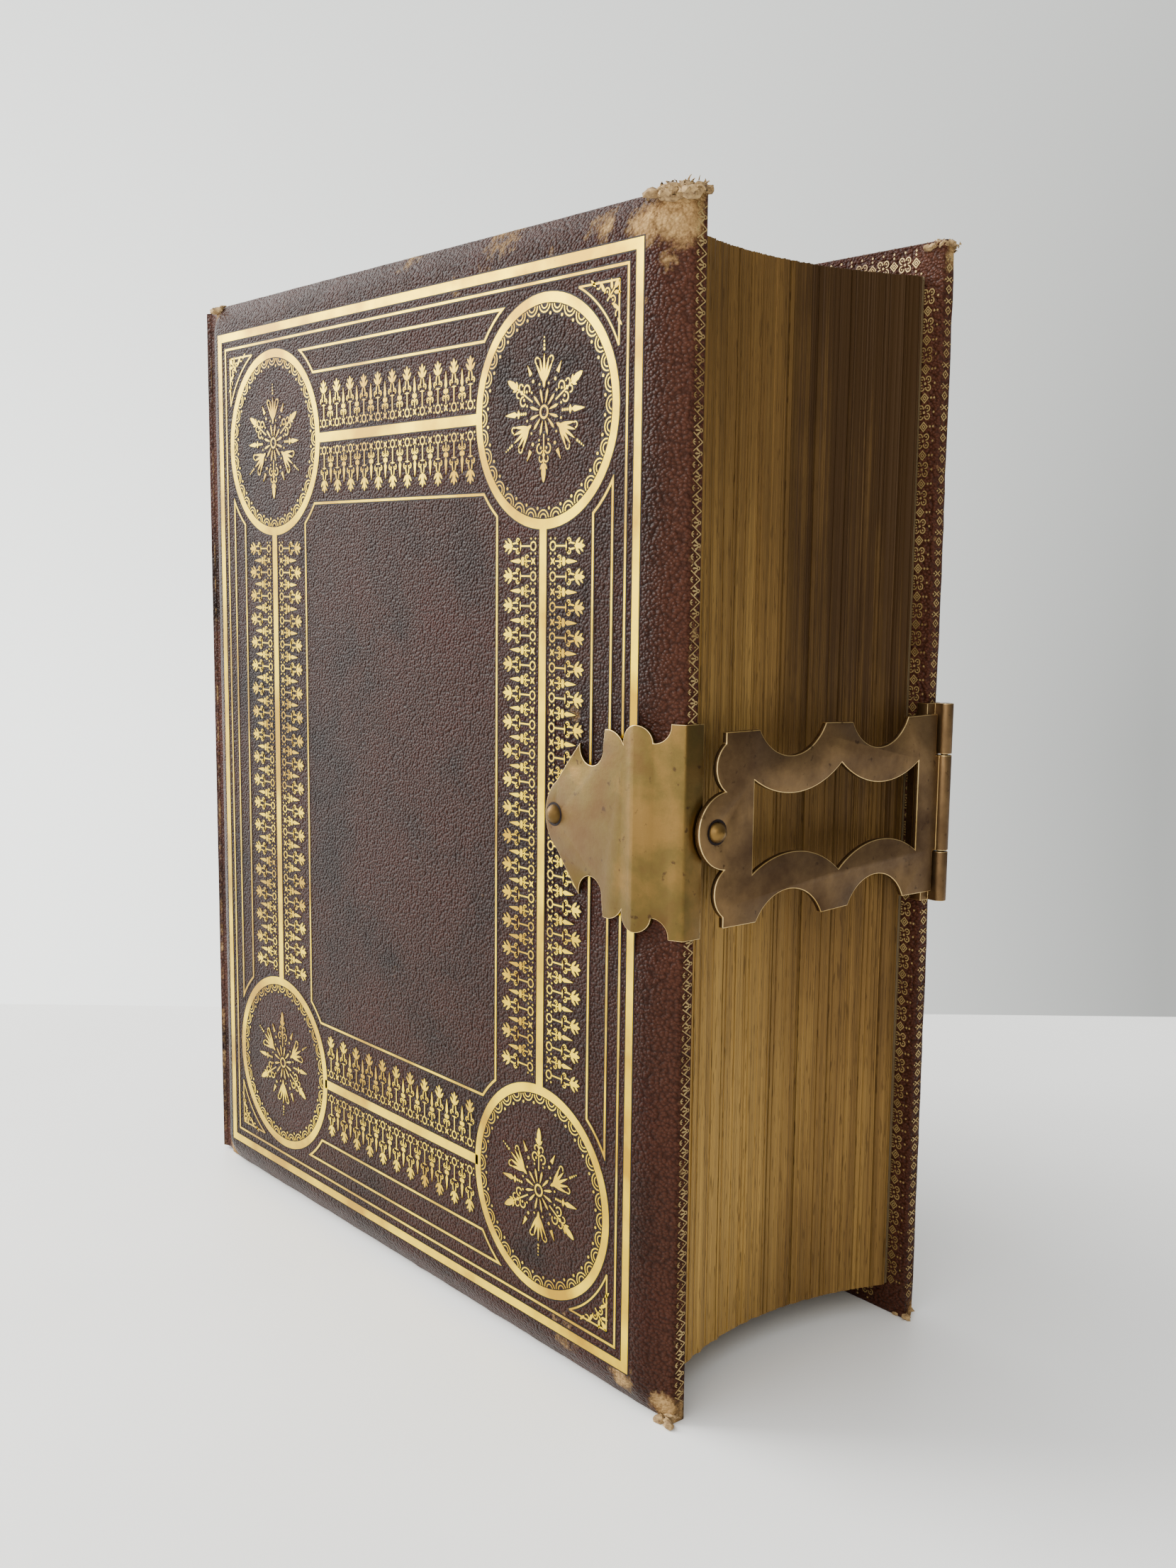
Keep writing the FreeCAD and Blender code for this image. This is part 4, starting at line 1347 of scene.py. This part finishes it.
@dataclass
class Fray:
    """Torn corners: loose fibres of the skin that stand up where the leather has gone."""

    seed: int = 7
    clods: int = 6
    steps: int = 3
    middle: float = 150.0
    floor_gap: float = 0.05

    def fibre(
        self, bm: BMesh, root: Vector, way: Vector, length: float, radius: float, rng: random.Random
    ) -> None:
        """Grows one bent, tapering fibre.

        Args:
            bm: Where it grows, in millimetres.
            root: Its foot.
            way: The way that it sets out.
            length: Its length.
            radius: Its thickness at the foot.
            rng: Seeded random numbers.
        """
        made = bmesh.ops.create_circle(bm, cap_ends=True, radius=radius, segments=3)
        turn = way.to_track_quat("Z", "Y").to_matrix().to_4x4()
        bmesh.ops.transform(bm, matrix=Matrix.Translation(root) @ turn, verts=made["verts"])
        cap = [made["verts"][0].link_faces[0]]
        course = way.normalized()
        centre = root.copy()
        for _ in range(self.steps):
            bend = Vector((rng.uniform(-1, 1), rng.uniform(-1, 1), rng.uniform(-1, 0.6))) * 0.5
            course = (course + bend).normalized()
            grown = bmesh.ops.extrude_face_region(bm, geom=cap)
            verts = [g for g in grown["geom"] if isinstance(g, bmesh.types.BMVert)]
            bmesh.ops.translate(bm, vec=course * (length / self.steps), verts=verts)
            centre += course * (length / self.steps)
            bmesh.ops.scale(bm, vec=(0.74, 0.74, 0.74), space=Matrix.Translation(-centre), verts=verts)
            cap = [g for g in grown["geom"] if isinstance(g, bmesh.types.BMFace)]

    def tuft(self, name: str, body: str, corner: Vector, size: Vector, count: int, longest: float) -> None:
        """Grows a tuft of fibres over a torn corner.

        Args:
            name: Name of the piece.
            body: Body that it rides on.
            corner: Middle of the torn patch, in millimetres.
            size: Half of its extent along each axis.
            count: Number of fibres.
            longest: Length of the longest.
        """
        rng = random.Random(self.seed + count)
        bm = bmesh.new()
        up = 1.0 if corner.z > self.middle else -0.2
        out = Vector((math.copysign(1, corner.x), math.copysign(0.35, corner.y), up))
        for _ in range(count // self.clods):
            place = (rng.uniform(-1, 1), rng.uniform(-1, 1), rng.uniform(-1, 0.4))
            shift = Vector(share * half for share, half in zip(place, size))
            reach = rng.uniform(0.35, 0.85) * longest
            clod = bmesh.ops.create_icosphere(bm, subdivisions=2, radius=1.0)
            for vert in clod["verts"]:
                rough = reach * (1 + 0.6 * noise.noise(vert.co * 1.6 + shift * 3))
                vert.co = corner + shift + Vector((vert.co.x * 1.5, vert.co.y * 1.2, vert.co.z * 0.8)) * rough
        for _ in range(count):
            shift = Vector(rng.gauss(0, 0.5) * half for half in size)
            way = out + Vector((rng.uniform(-1, 1), rng.uniform(-1, 1), rng.uniform(-1, 1))) * 1.3
            self.fibre(bm, corner + shift, way, rng.uniform(0.3, 0.8) * longest, rng.uniform(0.2, 0.6), rng)
        bmesh.ops.recalc_face_normals(bm, faces=bm.faces)
        for vert in bm.verts:
            vert.co.z = max(vert.co.z, self.floor_gap)
        bmesh.ops.scale(bm, vec=(MM, MM, MM), verts=bm.verts)
        piece(name, bm, [HIDE], body)

    def build(self) -> None:
        """Frays the corners of both boards."""
        torn = (
            ("front_torn_corner", "front_cover", (128.8, -49.5, 316.6), (6.6, 4.4, 1.6), 300, 2.2),
            ("back_torn_corner", "back_cover", (130.6, 49.5, 317.0), (4.2, 4.2, 1.2), 140, 1.8),
            ("front_chipped_foot", "front_cover", (132.8, -49.5, 1.4), (2.2, 3, 1.2), 40, 1.6),
            ("back_chipped_foot", "back_cover", (132.6, 49, 1.2), (2, 3, 1.2), 40, 1.6),
            ("front_spine_fray", "front_cover", (-113.4, -49.6, 317.2), (2.2, 2.2, 1.0), 40, 1.8),
        )
        for name, body, corner, size, count, longest in torn:
            self.tuft(name, body, Vector(corner), Vector(size), count, longest)


# ---------------------------------------------------------------- spine and joints


@dataclass
class Spine:
    """The rounded spine leather over its raised bands, and the hinges of leather at each side."""

    centre: float = -26.25
    radius: float = 109.0
    half_angle: float = 27.3
    skin: float = 1.2
    foot: float = 1.2
    head: float = 316.8
    band_heights: tuple[float, ...] = (46.0, 102.5, 159.0, 215.5, 272.0)
    band_half: float = 3.0
    band_rise: float = 3.1
    turns: int = 36
    storeys: int = 200
    hinge_inner: float = -125.2
    hinge_outer: float = -117.4
    strip: float = 0.3
    end_inset: float = 3.2
    side_inset: float = 7.0
    band_gap: float = 9.0
    end_gap: float = 2.0
    flower_room: float = 36.0
    bud_at: float = 31.0

    def reach(self, z: float) -> float:
        """Returns how far the leather's outside stands from the spine's centre line at a height."""
        lift = 0.0
        for band in self.band_heights:
            away = abs(z - band)
            lift = max(lift, self.band_rise * rise((self.band_half * 1.5 - away) / self.band_half))
        cap = 0.9 * math.exp(-min(z - self.foot, self.head - z) / 2.2)
        return self.radius + self.skin + lift + cap

    def leather(self) -> None:
        """Turns the spine's profile round its centre, bands and caps in one skin."""
        bm = bmesh.new()
        inside = self.centre - self.radius + 0.4
        heights = [self.foot + (self.head - self.foot) * i / self.storeys for i in range(self.storeys + 1)]
        outline = [(self.centre - self.reach(z), z) for z in heights]
        outline = [(inside, self.foot), *outline, (inside, self.head)]
        face = bm.faces.new([bm.verts.new((x, 0.0, z)) for x, z in outline])
        turn = Matrix.Rotation(math.radians(self.half_angle), 4, "Z")
        axis = Vector((self.centre, 0.0, 0.0))
        bmesh.ops.rotate(bm, cent=axis, matrix=turn, verts=bm.verts)
        bmesh.ops.spin(
            bm,
            geom=[face],
            cent=axis,
            axis=(0, 0, 1),
            angle=-2 * math.radians(self.half_angle),
            steps=self.turns,
        )
        ends = [e for e in bm.edges if e.is_boundary]
        if ends:
            bmesh.ops.holes_fill(bm, edges=ends)
        wear = bm.verts.layers.float.new("wear")
        for vert in bm.verts:
            z = vert.co.z
            level = 0.42 * math.exp(-min(z - self.foot, self.head - z) / 3.0)
            spoke = Vector((vert.co.x - self.centre, vert.co.y, 0.0))
            over = spoke.length - self.radius - self.skin
            if over > 0:
                turned = math.degrees(math.atan2(abs(spoke.y), -spoke.x))
                over *= 1 - rise((turned - 18.0) / (self.half_angle - 19.0))
                spoke = spoke.normalized() * (self.radius + self.skin + over)
                vert.co = Vector((self.centre + spoke.x, spoke.y, z))
            vert[wear] = max(level, 0.3 * max(0.0, over - 1.6) / 1.5)
        nodes = ["spine_leather", "raised_bands"]
        piece("spine_morocco", settle(bm), [SPINE_MOROCCO], "text_block", nodes, smooth_angle=50.0)

    def gold(self) -> None:
        """Strikes the spine's lines beside each band and a flower in each compartment."""
        drum = Drum(self.centre, self.radius + self.skin)
        half = math.radians(self.half_angle) * self.radius - self.side_inset
        cover = CoverTooling()
        # The wider dark copy is scorched leather and painted shade round each gold mark.
        for name, grow, lift, finish in (("blind_and_shade", 0.3, 0.03, BLIND_AND_SHADE), ("gold", 0.0, 0.09, GOLD)):
            die = Die(grow)
            edges = [self.foot + self.end_inset, *self.band_heights, self.head - self.end_inset]
            rosette = cover.rosette(grow)
            for low, high in zip(edges[:-1], edges[1:]):
                low_line = low + (self.band_gap if low in self.band_heights else self.end_gap)
                high_line = high - (self.band_gap if high in self.band_heights else self.end_gap)
                for line, inward in ((low_line, 2.4), (high_line, -2.4)):
                    die.bar(-half, line, half, line, 1.1, 40)
                    die.bar(-half, line + inward, half, line + inward, 0.4, 40)
                for way in (-1, 1):
                    die.bar(way * half, low_line, way * half, high_line, 0.6)
                middle = (low_line + high_line) / 2
                if high_line - low_line > self.flower_room:
                    die.stamp(rosette, 0, middle)
                for su in (-1, 1):
                    die.leaf(su * self.bud_at, middle, 6.4, 3.0, 90, steps=4)
                    for sv in (-1, 1):
                        die.leaf(su * self.bud_at, middle + sv * 5.6, 3.4, 1.3, 90 * sv, 0.5, 6)
                        for beside in (3.2, -3.2):
                            die.dot(su * (self.bud_at + beside), middle + sv * 2.0, 0.5, 6)
            piece(f"spine_{name}_tooling", die.strike(drum, lift), [finish], "text_block")

    def hinge(self, side: Side) -> None:
        """Makes the strip of leather that joins the spine to one board, with its pressed groove.

        Args:
            side: The board.
        """
        way = side.value
        inner, outer = self.hinge_inner, self.hinge_outer
        bm = bmesh.new()
        groove = ((0.0, 49.0), (1.3, 50.15), (2.8, 49.6), (4.2, 49.4), (5.6, 49.7))
        path = [(inner + x, y) for x, y in groove] + [(outer, 50.1)]
        back = [(x, y - self.strip) for x, y in reversed(path)]
        face = bm.faces.new([bm.verts.new((x, way * y, self.foot)) for x, y in path + back])
        grown = bmesh.ops.extrude_face_region(bm, geom=[face], use_keep_orig=True)
        tops = [g for g in grown["geom"] if isinstance(g, bmesh.types.BMVert)]
        bmesh.ops.translate(bm, vec=(0, 0, self.head - self.foot), verts=tops)
        uprights = [e for e in bm.edges if abs(e.verts[0].co.z - e.verts[1].co.z) > 1]
        bmesh.ops.subdivide_edges(bm, edges=uprights, cuts=60)
        wear = bm.verts.layers.float.new("wear")
        for vert in bm.verts:
            vert[wear] = 0.36 if abs(vert.co.y) > 49.6 else 0.05
            vert.co.y += way * 0.06 * noise.noise(Vector((vert.co.x, vert.co.z, 3.0)) * 0.3)
        made = piece(f"{side.label}_hinge_leather", settle(bm), [SPINE_MOROCCO], smooth_angle=60.0)
        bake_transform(made)

    def build(self) -> None:
        """Builds the spine and both hinges and dresses the layers below."""
        self.leather()
        self.gold()
        for side in Side:
            self.hinge(side)
        layers = {
            "hollow_back": RAW_BOARD,
            "spine_lining": PAGE,
            "mull": CLOTH,
            "sewing_tapes": CLOTH,
            "headband": SILK,
            "tailband": SILK,
        }
        for node, finish in layers.items():
            repaint(node, finish)


# ---------------------------------------------------------------- the leaves


@dataclass
class TextBlock:
    """The sewn leaves: eight groups of gatherings with a hollow, gilt fore-edge and a rounded back."""

    groups: int = 8
    packets: int = 48
    storeys: int = 14
    corner: float = 128.0
    hollow: float = 9.5
    back_corner: float = -122.7
    back_round: float = 9.5
    rough: float = 0.09
    seed: int = 21

    def build_group(self, number: int, rng: random.Random) -> None:
        """Makes one group of gatherings from packets of leaves that end unevenly.

        Args:
            number: The group's number in the frame.
            rng: Seeded random numbers.
        """
        node = f"gathering_group_{number}"
        low, high = box_of(node)
        half = self.groups * (high.y - low.y) / 2
        bm = bmesh.new()
        bmesh.ops.create_grid(bm, x_segments=1, y_segments=self.packets, size=1.0)
        jitter = [rng.uniform(-1, 1) * self.rough for _ in range(self.packets + 1)]
        for k in range(7, self.packets, rng.randrange(17, 26)):
            jitter[k] -= rng.uniform(0.25, 0.7)
        jitter[0] -= rng.uniform(0.3, 0.9)
        jitter[-1] -= rng.uniform(0.3, 0.9)
        for vert in bm.verts:
            index = round((vert.co.y + 1) / 2 * self.packets)
            y = low.y + (high.y - low.y) * index / self.packets
            share = min(abs(y) / half, 1.0) ** 2
            fore = self.corner - self.hollow * (1 - share) + jitter[index]
            back = self.back_corner - self.back_round * (1 - share)
            vert.co = Vector((fore if vert.co.x > 0 else back, y, low.z))
        grown = bmesh.ops.extrude_face_region(bm, geom=bm.faces[:], use_keep_orig=True)
        tops = [g for g in grown["geom"] if isinstance(g, bmesh.types.BMVert)]
        bmesh.ops.translate(bm, vec=(0, 0, high.z - low.z), verts=tops)
        uprights = [e for e in bm.edges if abs(e.verts[0].co.z - e.verts[1].co.z) > 1]
        bmesh.ops.subdivide_edges(bm, edges=uprights, cuts=self.storeys)
        for vert in bm.verts:
            if vert.co.x > 0:
                lie = Vector((vert.co.y * 0.35, vert.co.z * 0.012, 5.0))
                vert.co.x += noise.noise(lie) * 0.5
                level = Vector((vert.co.y * 1.9, vert.co.z * 0.05, 8.0))
                vert.co.x += noise.noise(level) * 0.12
            if vert.co.z > high.z - 0.01:
                vert.co.z += noise.noise(Vector((vert.co.y * 1.7, 0.0, 2.0))) * 0.35
        for leaf in settle(bm).faces:
            outermost = abs(leaf.calc_center_median().y) > (half - 0.05) * MM
            leaf.material_index = int(outermost or leaf.normal.x < -0.5)
        name = f"gilt_leaves_{number}"
        piece(name, bm, [GILT, PAGE], "text_block", [node], smooth_angle=25.0)

    def build(self) -> None:
        """Builds every group and dresses the free leaves."""
        rng = random.Random(self.seed)
        for number in range(1, self.groups + 1):
            self.build_group(number, rng)
        for node in ("front_flyleaf", "back_flyleaf"):
            repaint(node, ENDPAPER)
        for node in ("title_leaf", "rear_leaf"):
            repaint(node, PAGE)


# ---------------------------------------------------------------- the clasp


@dataclass
class Clasp:
    """Stamped brass furniture: a catch plate bent over the front board, and a hasp hinged on the back one."""

    corner: float = 0.22
    segments: int = 2
    sharp: float = 35.0
    cover_face: float = 56.0
    hasp_face: float = 137.1

    def plate(self, name: str, node: str, body: str, finish: Finish) -> None:
        """Makes a brass part from its frame solid, with its corners eased in a paler brass that is part
        rubbed metal, part painted highlight.

        Args:
            name: Name of the piece.
            node: The CAD node.
            body: Body that it rides on.
            finish: Its brass.
        """
        bm = merged_copy(node)
        limit = math.radians(self.sharp)
        sharp = [e for e in bm.edges if len(e.link_faces) == 2 and e.calc_face_angle(0.0) > limit]
        made = bmesh.ops.bevel(
            bm,
            geom=sharp,
            offset=self.corner * MM,
            segments=self.segments,
            profile=0.5,
            affect="EDGES",
            material=-1,
            clamp_overlap=True,
        )
        # The eased faces take the paler brass: rubbing and a painted highlight.
        for face in made["faces"]:
            face.material_index = 1
        bmesh.ops.recalc_face_normals(bm, faces=bm.faces)
        piece(name, bm, [finish, RUBBED_AND_HIGHLIT_BRASS], body, [node], smooth_angle=32.0)

    def ring(self, node: str, body: str, right: Vector, height: float) -> None:
        """Makes the dark ring that lies round a rivet or the stud.

        Args:
            node: The rivet or stud.
            body: Body that it rides on.
            right: Way to the right on the plate.
            height: How far out the plate's face stands from the middle, in millimetres.
        """
        up = Vector((0, 0, 1))
        low, high = box_of(node)
        out = right.cross(up)
        middle = (low + high) / 2
        centre = middle + out * (height - middle.dot(out))
        radius = (high.z - low.z) / 2
        die = Die()
        die.arc(0, 0, radius + 0.25, 0.7, steps=28)
        shape = die.strike(Plane(centre, right, up), 0.06, 0.1)
        piece(f"{node}_ring", shape, [BLIND_AND_SHADE], body)

    def build(self) -> None:
        """Builds every part of the clasp."""
        self.plate("catch_brass", "catch_plate", "front_cover", BRASS)
        self.plate("anchor_brass", "anchor_plate", "back_cover", HASP_BRASS)
        self.plate("hasp_brass", "hasp", "hasp", HASP_BRASS)
        for node, body, right, height in (
            ("catch_rivet", "front_cover", (1, 0, 0), self.cover_face),
            ("anchor_rivet", "back_cover", (-1, 0, 0), self.cover_face),
            ("catch_stud", "hasp", (0, 1, 0), self.hasp_face),
        ):
            self.ring(node, body, Vector(right), height)
        for node in ("catch_stud", "catch_rivet", "anchor_rivet"):
            repaint(node, BRASS)
        repaint("hinge_pin", HASP_BRASS)


# ---------------------------------------------------------------- stage


@dataclass
class Stage:
    """The pale floor, the grey room, the soft lights and the camera."""

    eye: Vector = field(default_factory=lambda: Vector((420.2, -319.4, 225.0)) * MM)
    forward: Vector = field(default_factory=lambda: Vector((-0.7624, 0.6332, -0.1338)))
    right: Vector = field(default_factory=lambda: Vector((0.6378, 0.7702, 0.0108)))
    lens: float = 36.05
    floor_reach: float = 0.79
    floor_back: float = 2.6
    floor_half: float = 2.4
    room_strength: float = 3.3

    def camera(self) -> None:
        """Sets up the camera."""
        data = bpy.data.cameras.new("camera")
        data.sensor_fit = "AUTO"
        data.sensor_width = 36.0
        data.lens = self.lens
        data.clip_start = 0.01
        made = put_in("camera", data)
        ahead = self.forward.normalized()
        right = (self.right - ahead * self.right.dot(ahead)).normalized()
        up = right.cross(ahead)
        turn = Matrix((right, up, -ahead)).transposed().to_4x4()
        made.matrix_world = Matrix.Translation(self.eye) @ turn
        bpy.context.scene.camera = made

    def floor(self) -> None:
        """Lays the floor, square to the camera's view."""
        bm = bmesh.new()
        bmesh.ops.create_grid(bm, x_segments=1, y_segments=1, size=1.0)
        ahead = Vector((self.forward.x, self.forward.y, 0.0)).normalized()
        right = Vector((ahead.y, -ahead.x, 0.0))
        foot = Vector((self.eye.x, self.eye.y, 0.0))
        for vert in bm.verts:
            along = self.floor_reach if vert.co.y > 0 else -self.floor_back
            vert.co = foot + ahead * along + right * (self.floor_half * vert.co.x)
        bmesh.ops.recalc_face_normals(bm, faces=bm.faces)
        mesh = bpy.data.meshes.new("floor")
        bm.to_mesh(mesh)
        bm.free()
        mesh.materials.append(FLOOR.material())
        put_in("floor", mesh)

    def light(self, name: str, at: Point, height: float, size: Point, power: float, colour: str) -> None:
        """Hangs a soft panel of light that faces the book.

        Args:
            name: The light's name.
            at: Its place over the floor in metres.
            height: Its height in metres.
            size: Its width and height in metres.
            power: Its power in watts.
            colour: Its colour as hex.
        """
        data = bpy.data.lights.new(name, "AREA")
        data.shape = "RECTANGLE"
        data.size, data.size_y = size
        data.energy = power
        data.color = linear(colour)[:3]
        made = put_in(name, data)
        place = Vector((at[0], at[1], height))
        turn = (Vector((0.0, 0.0, 0.16)) - place).to_track_quat("-Z", "Y").to_matrix().to_4x4()
        made.matrix_world = Matrix.Translation(place) @ turn

    def room(self) -> None:
        """Paints the room: to the eye a grey wall with painted light to the left and painted shade to the
        right; for the book, brighter on the window's side.
        """
        world = bpy.data.worlds.new("room")
        world.use_nodes = True
        tree = world.node_tree
        tree.nodes.clear()
        way = add(tree, "TexCoord").outputs["Generated"]
        product = add(tree, "VectorMath", {0: way, 1: tuple(self.right)}, operation="DOT_PRODUCT")
        across = product.outputs["Value"]
        split = add(tree, "SeparateXYZ", {0: way})
        height = split.outputs[2]
        # Painted light and shade on the wall the camera sees: bright on the left, brightest low down, dim on
        # the right, dimmest low down.
        left = add(tree, "MapRange", {0: height, 1: -0.1, 2: 0.35, 3: 2.9, 4: 2.0})
        right = add(tree, "MapRange", {0: height, 1: -0.1, 2: 0.35, 3: 0.66, 4: 1.0})
        wall_painted_light = add(
            tree,
            "MapRange",
            {0: across, 1: -0.34, 2: 0.34, 3: left, 4: right},
        )
        window = add(
            tree,
            "ValToRGB",
            {0: add(tree, "MapRange", {0: across, 1: -1.0, 2: 1.0})},
            [(0.0, grey(1.0)), (0.22, grey(0.9)), (0.5, grey(0.34)), (1.0, grey(0.1))],
        )
        seen = add(tree, "LightPath").outputs["Is Camera Ray"]
        wall_light = add(tree, "Background", {"Color": linear("F9FBF7"), "Strength": wall_painted_light})
        room_light = add(tree, "Background", {"Color": window, "Strength": self.room_strength})
        mixed = add(tree, "MixShader", {0: seen, 1: room_light, 2: wall_light})
        add(tree, "OutputWorld", {"Surface": mixed})
        bpy.context.scene.world = world

    def build(self) -> None:
        """Sets the whole stage."""
        self.camera()
        self.floor()
        self.room()
        self.light("window", (-1.5, -0.9), 1.1, (1.3, 1.3), 72.0, "FFFDF8")
        self.light("bounce", (1.1, -1.3), 0.9, (1.0, 1.0), 7.0, "FFF6E8")
        LOG.info("stage set")


def main() -> None:
    """Builds the book in order."""
    Stage().build()
    Cover(Side.FRONT, FRONT_WEAR).build()
    Cover(Side.BACK, BACK_WEAR).build()
    Fray().build()
    Spine().build()
    TextBlock().build()
    Clasp().build()


if __name__ == "__main__":
    main()
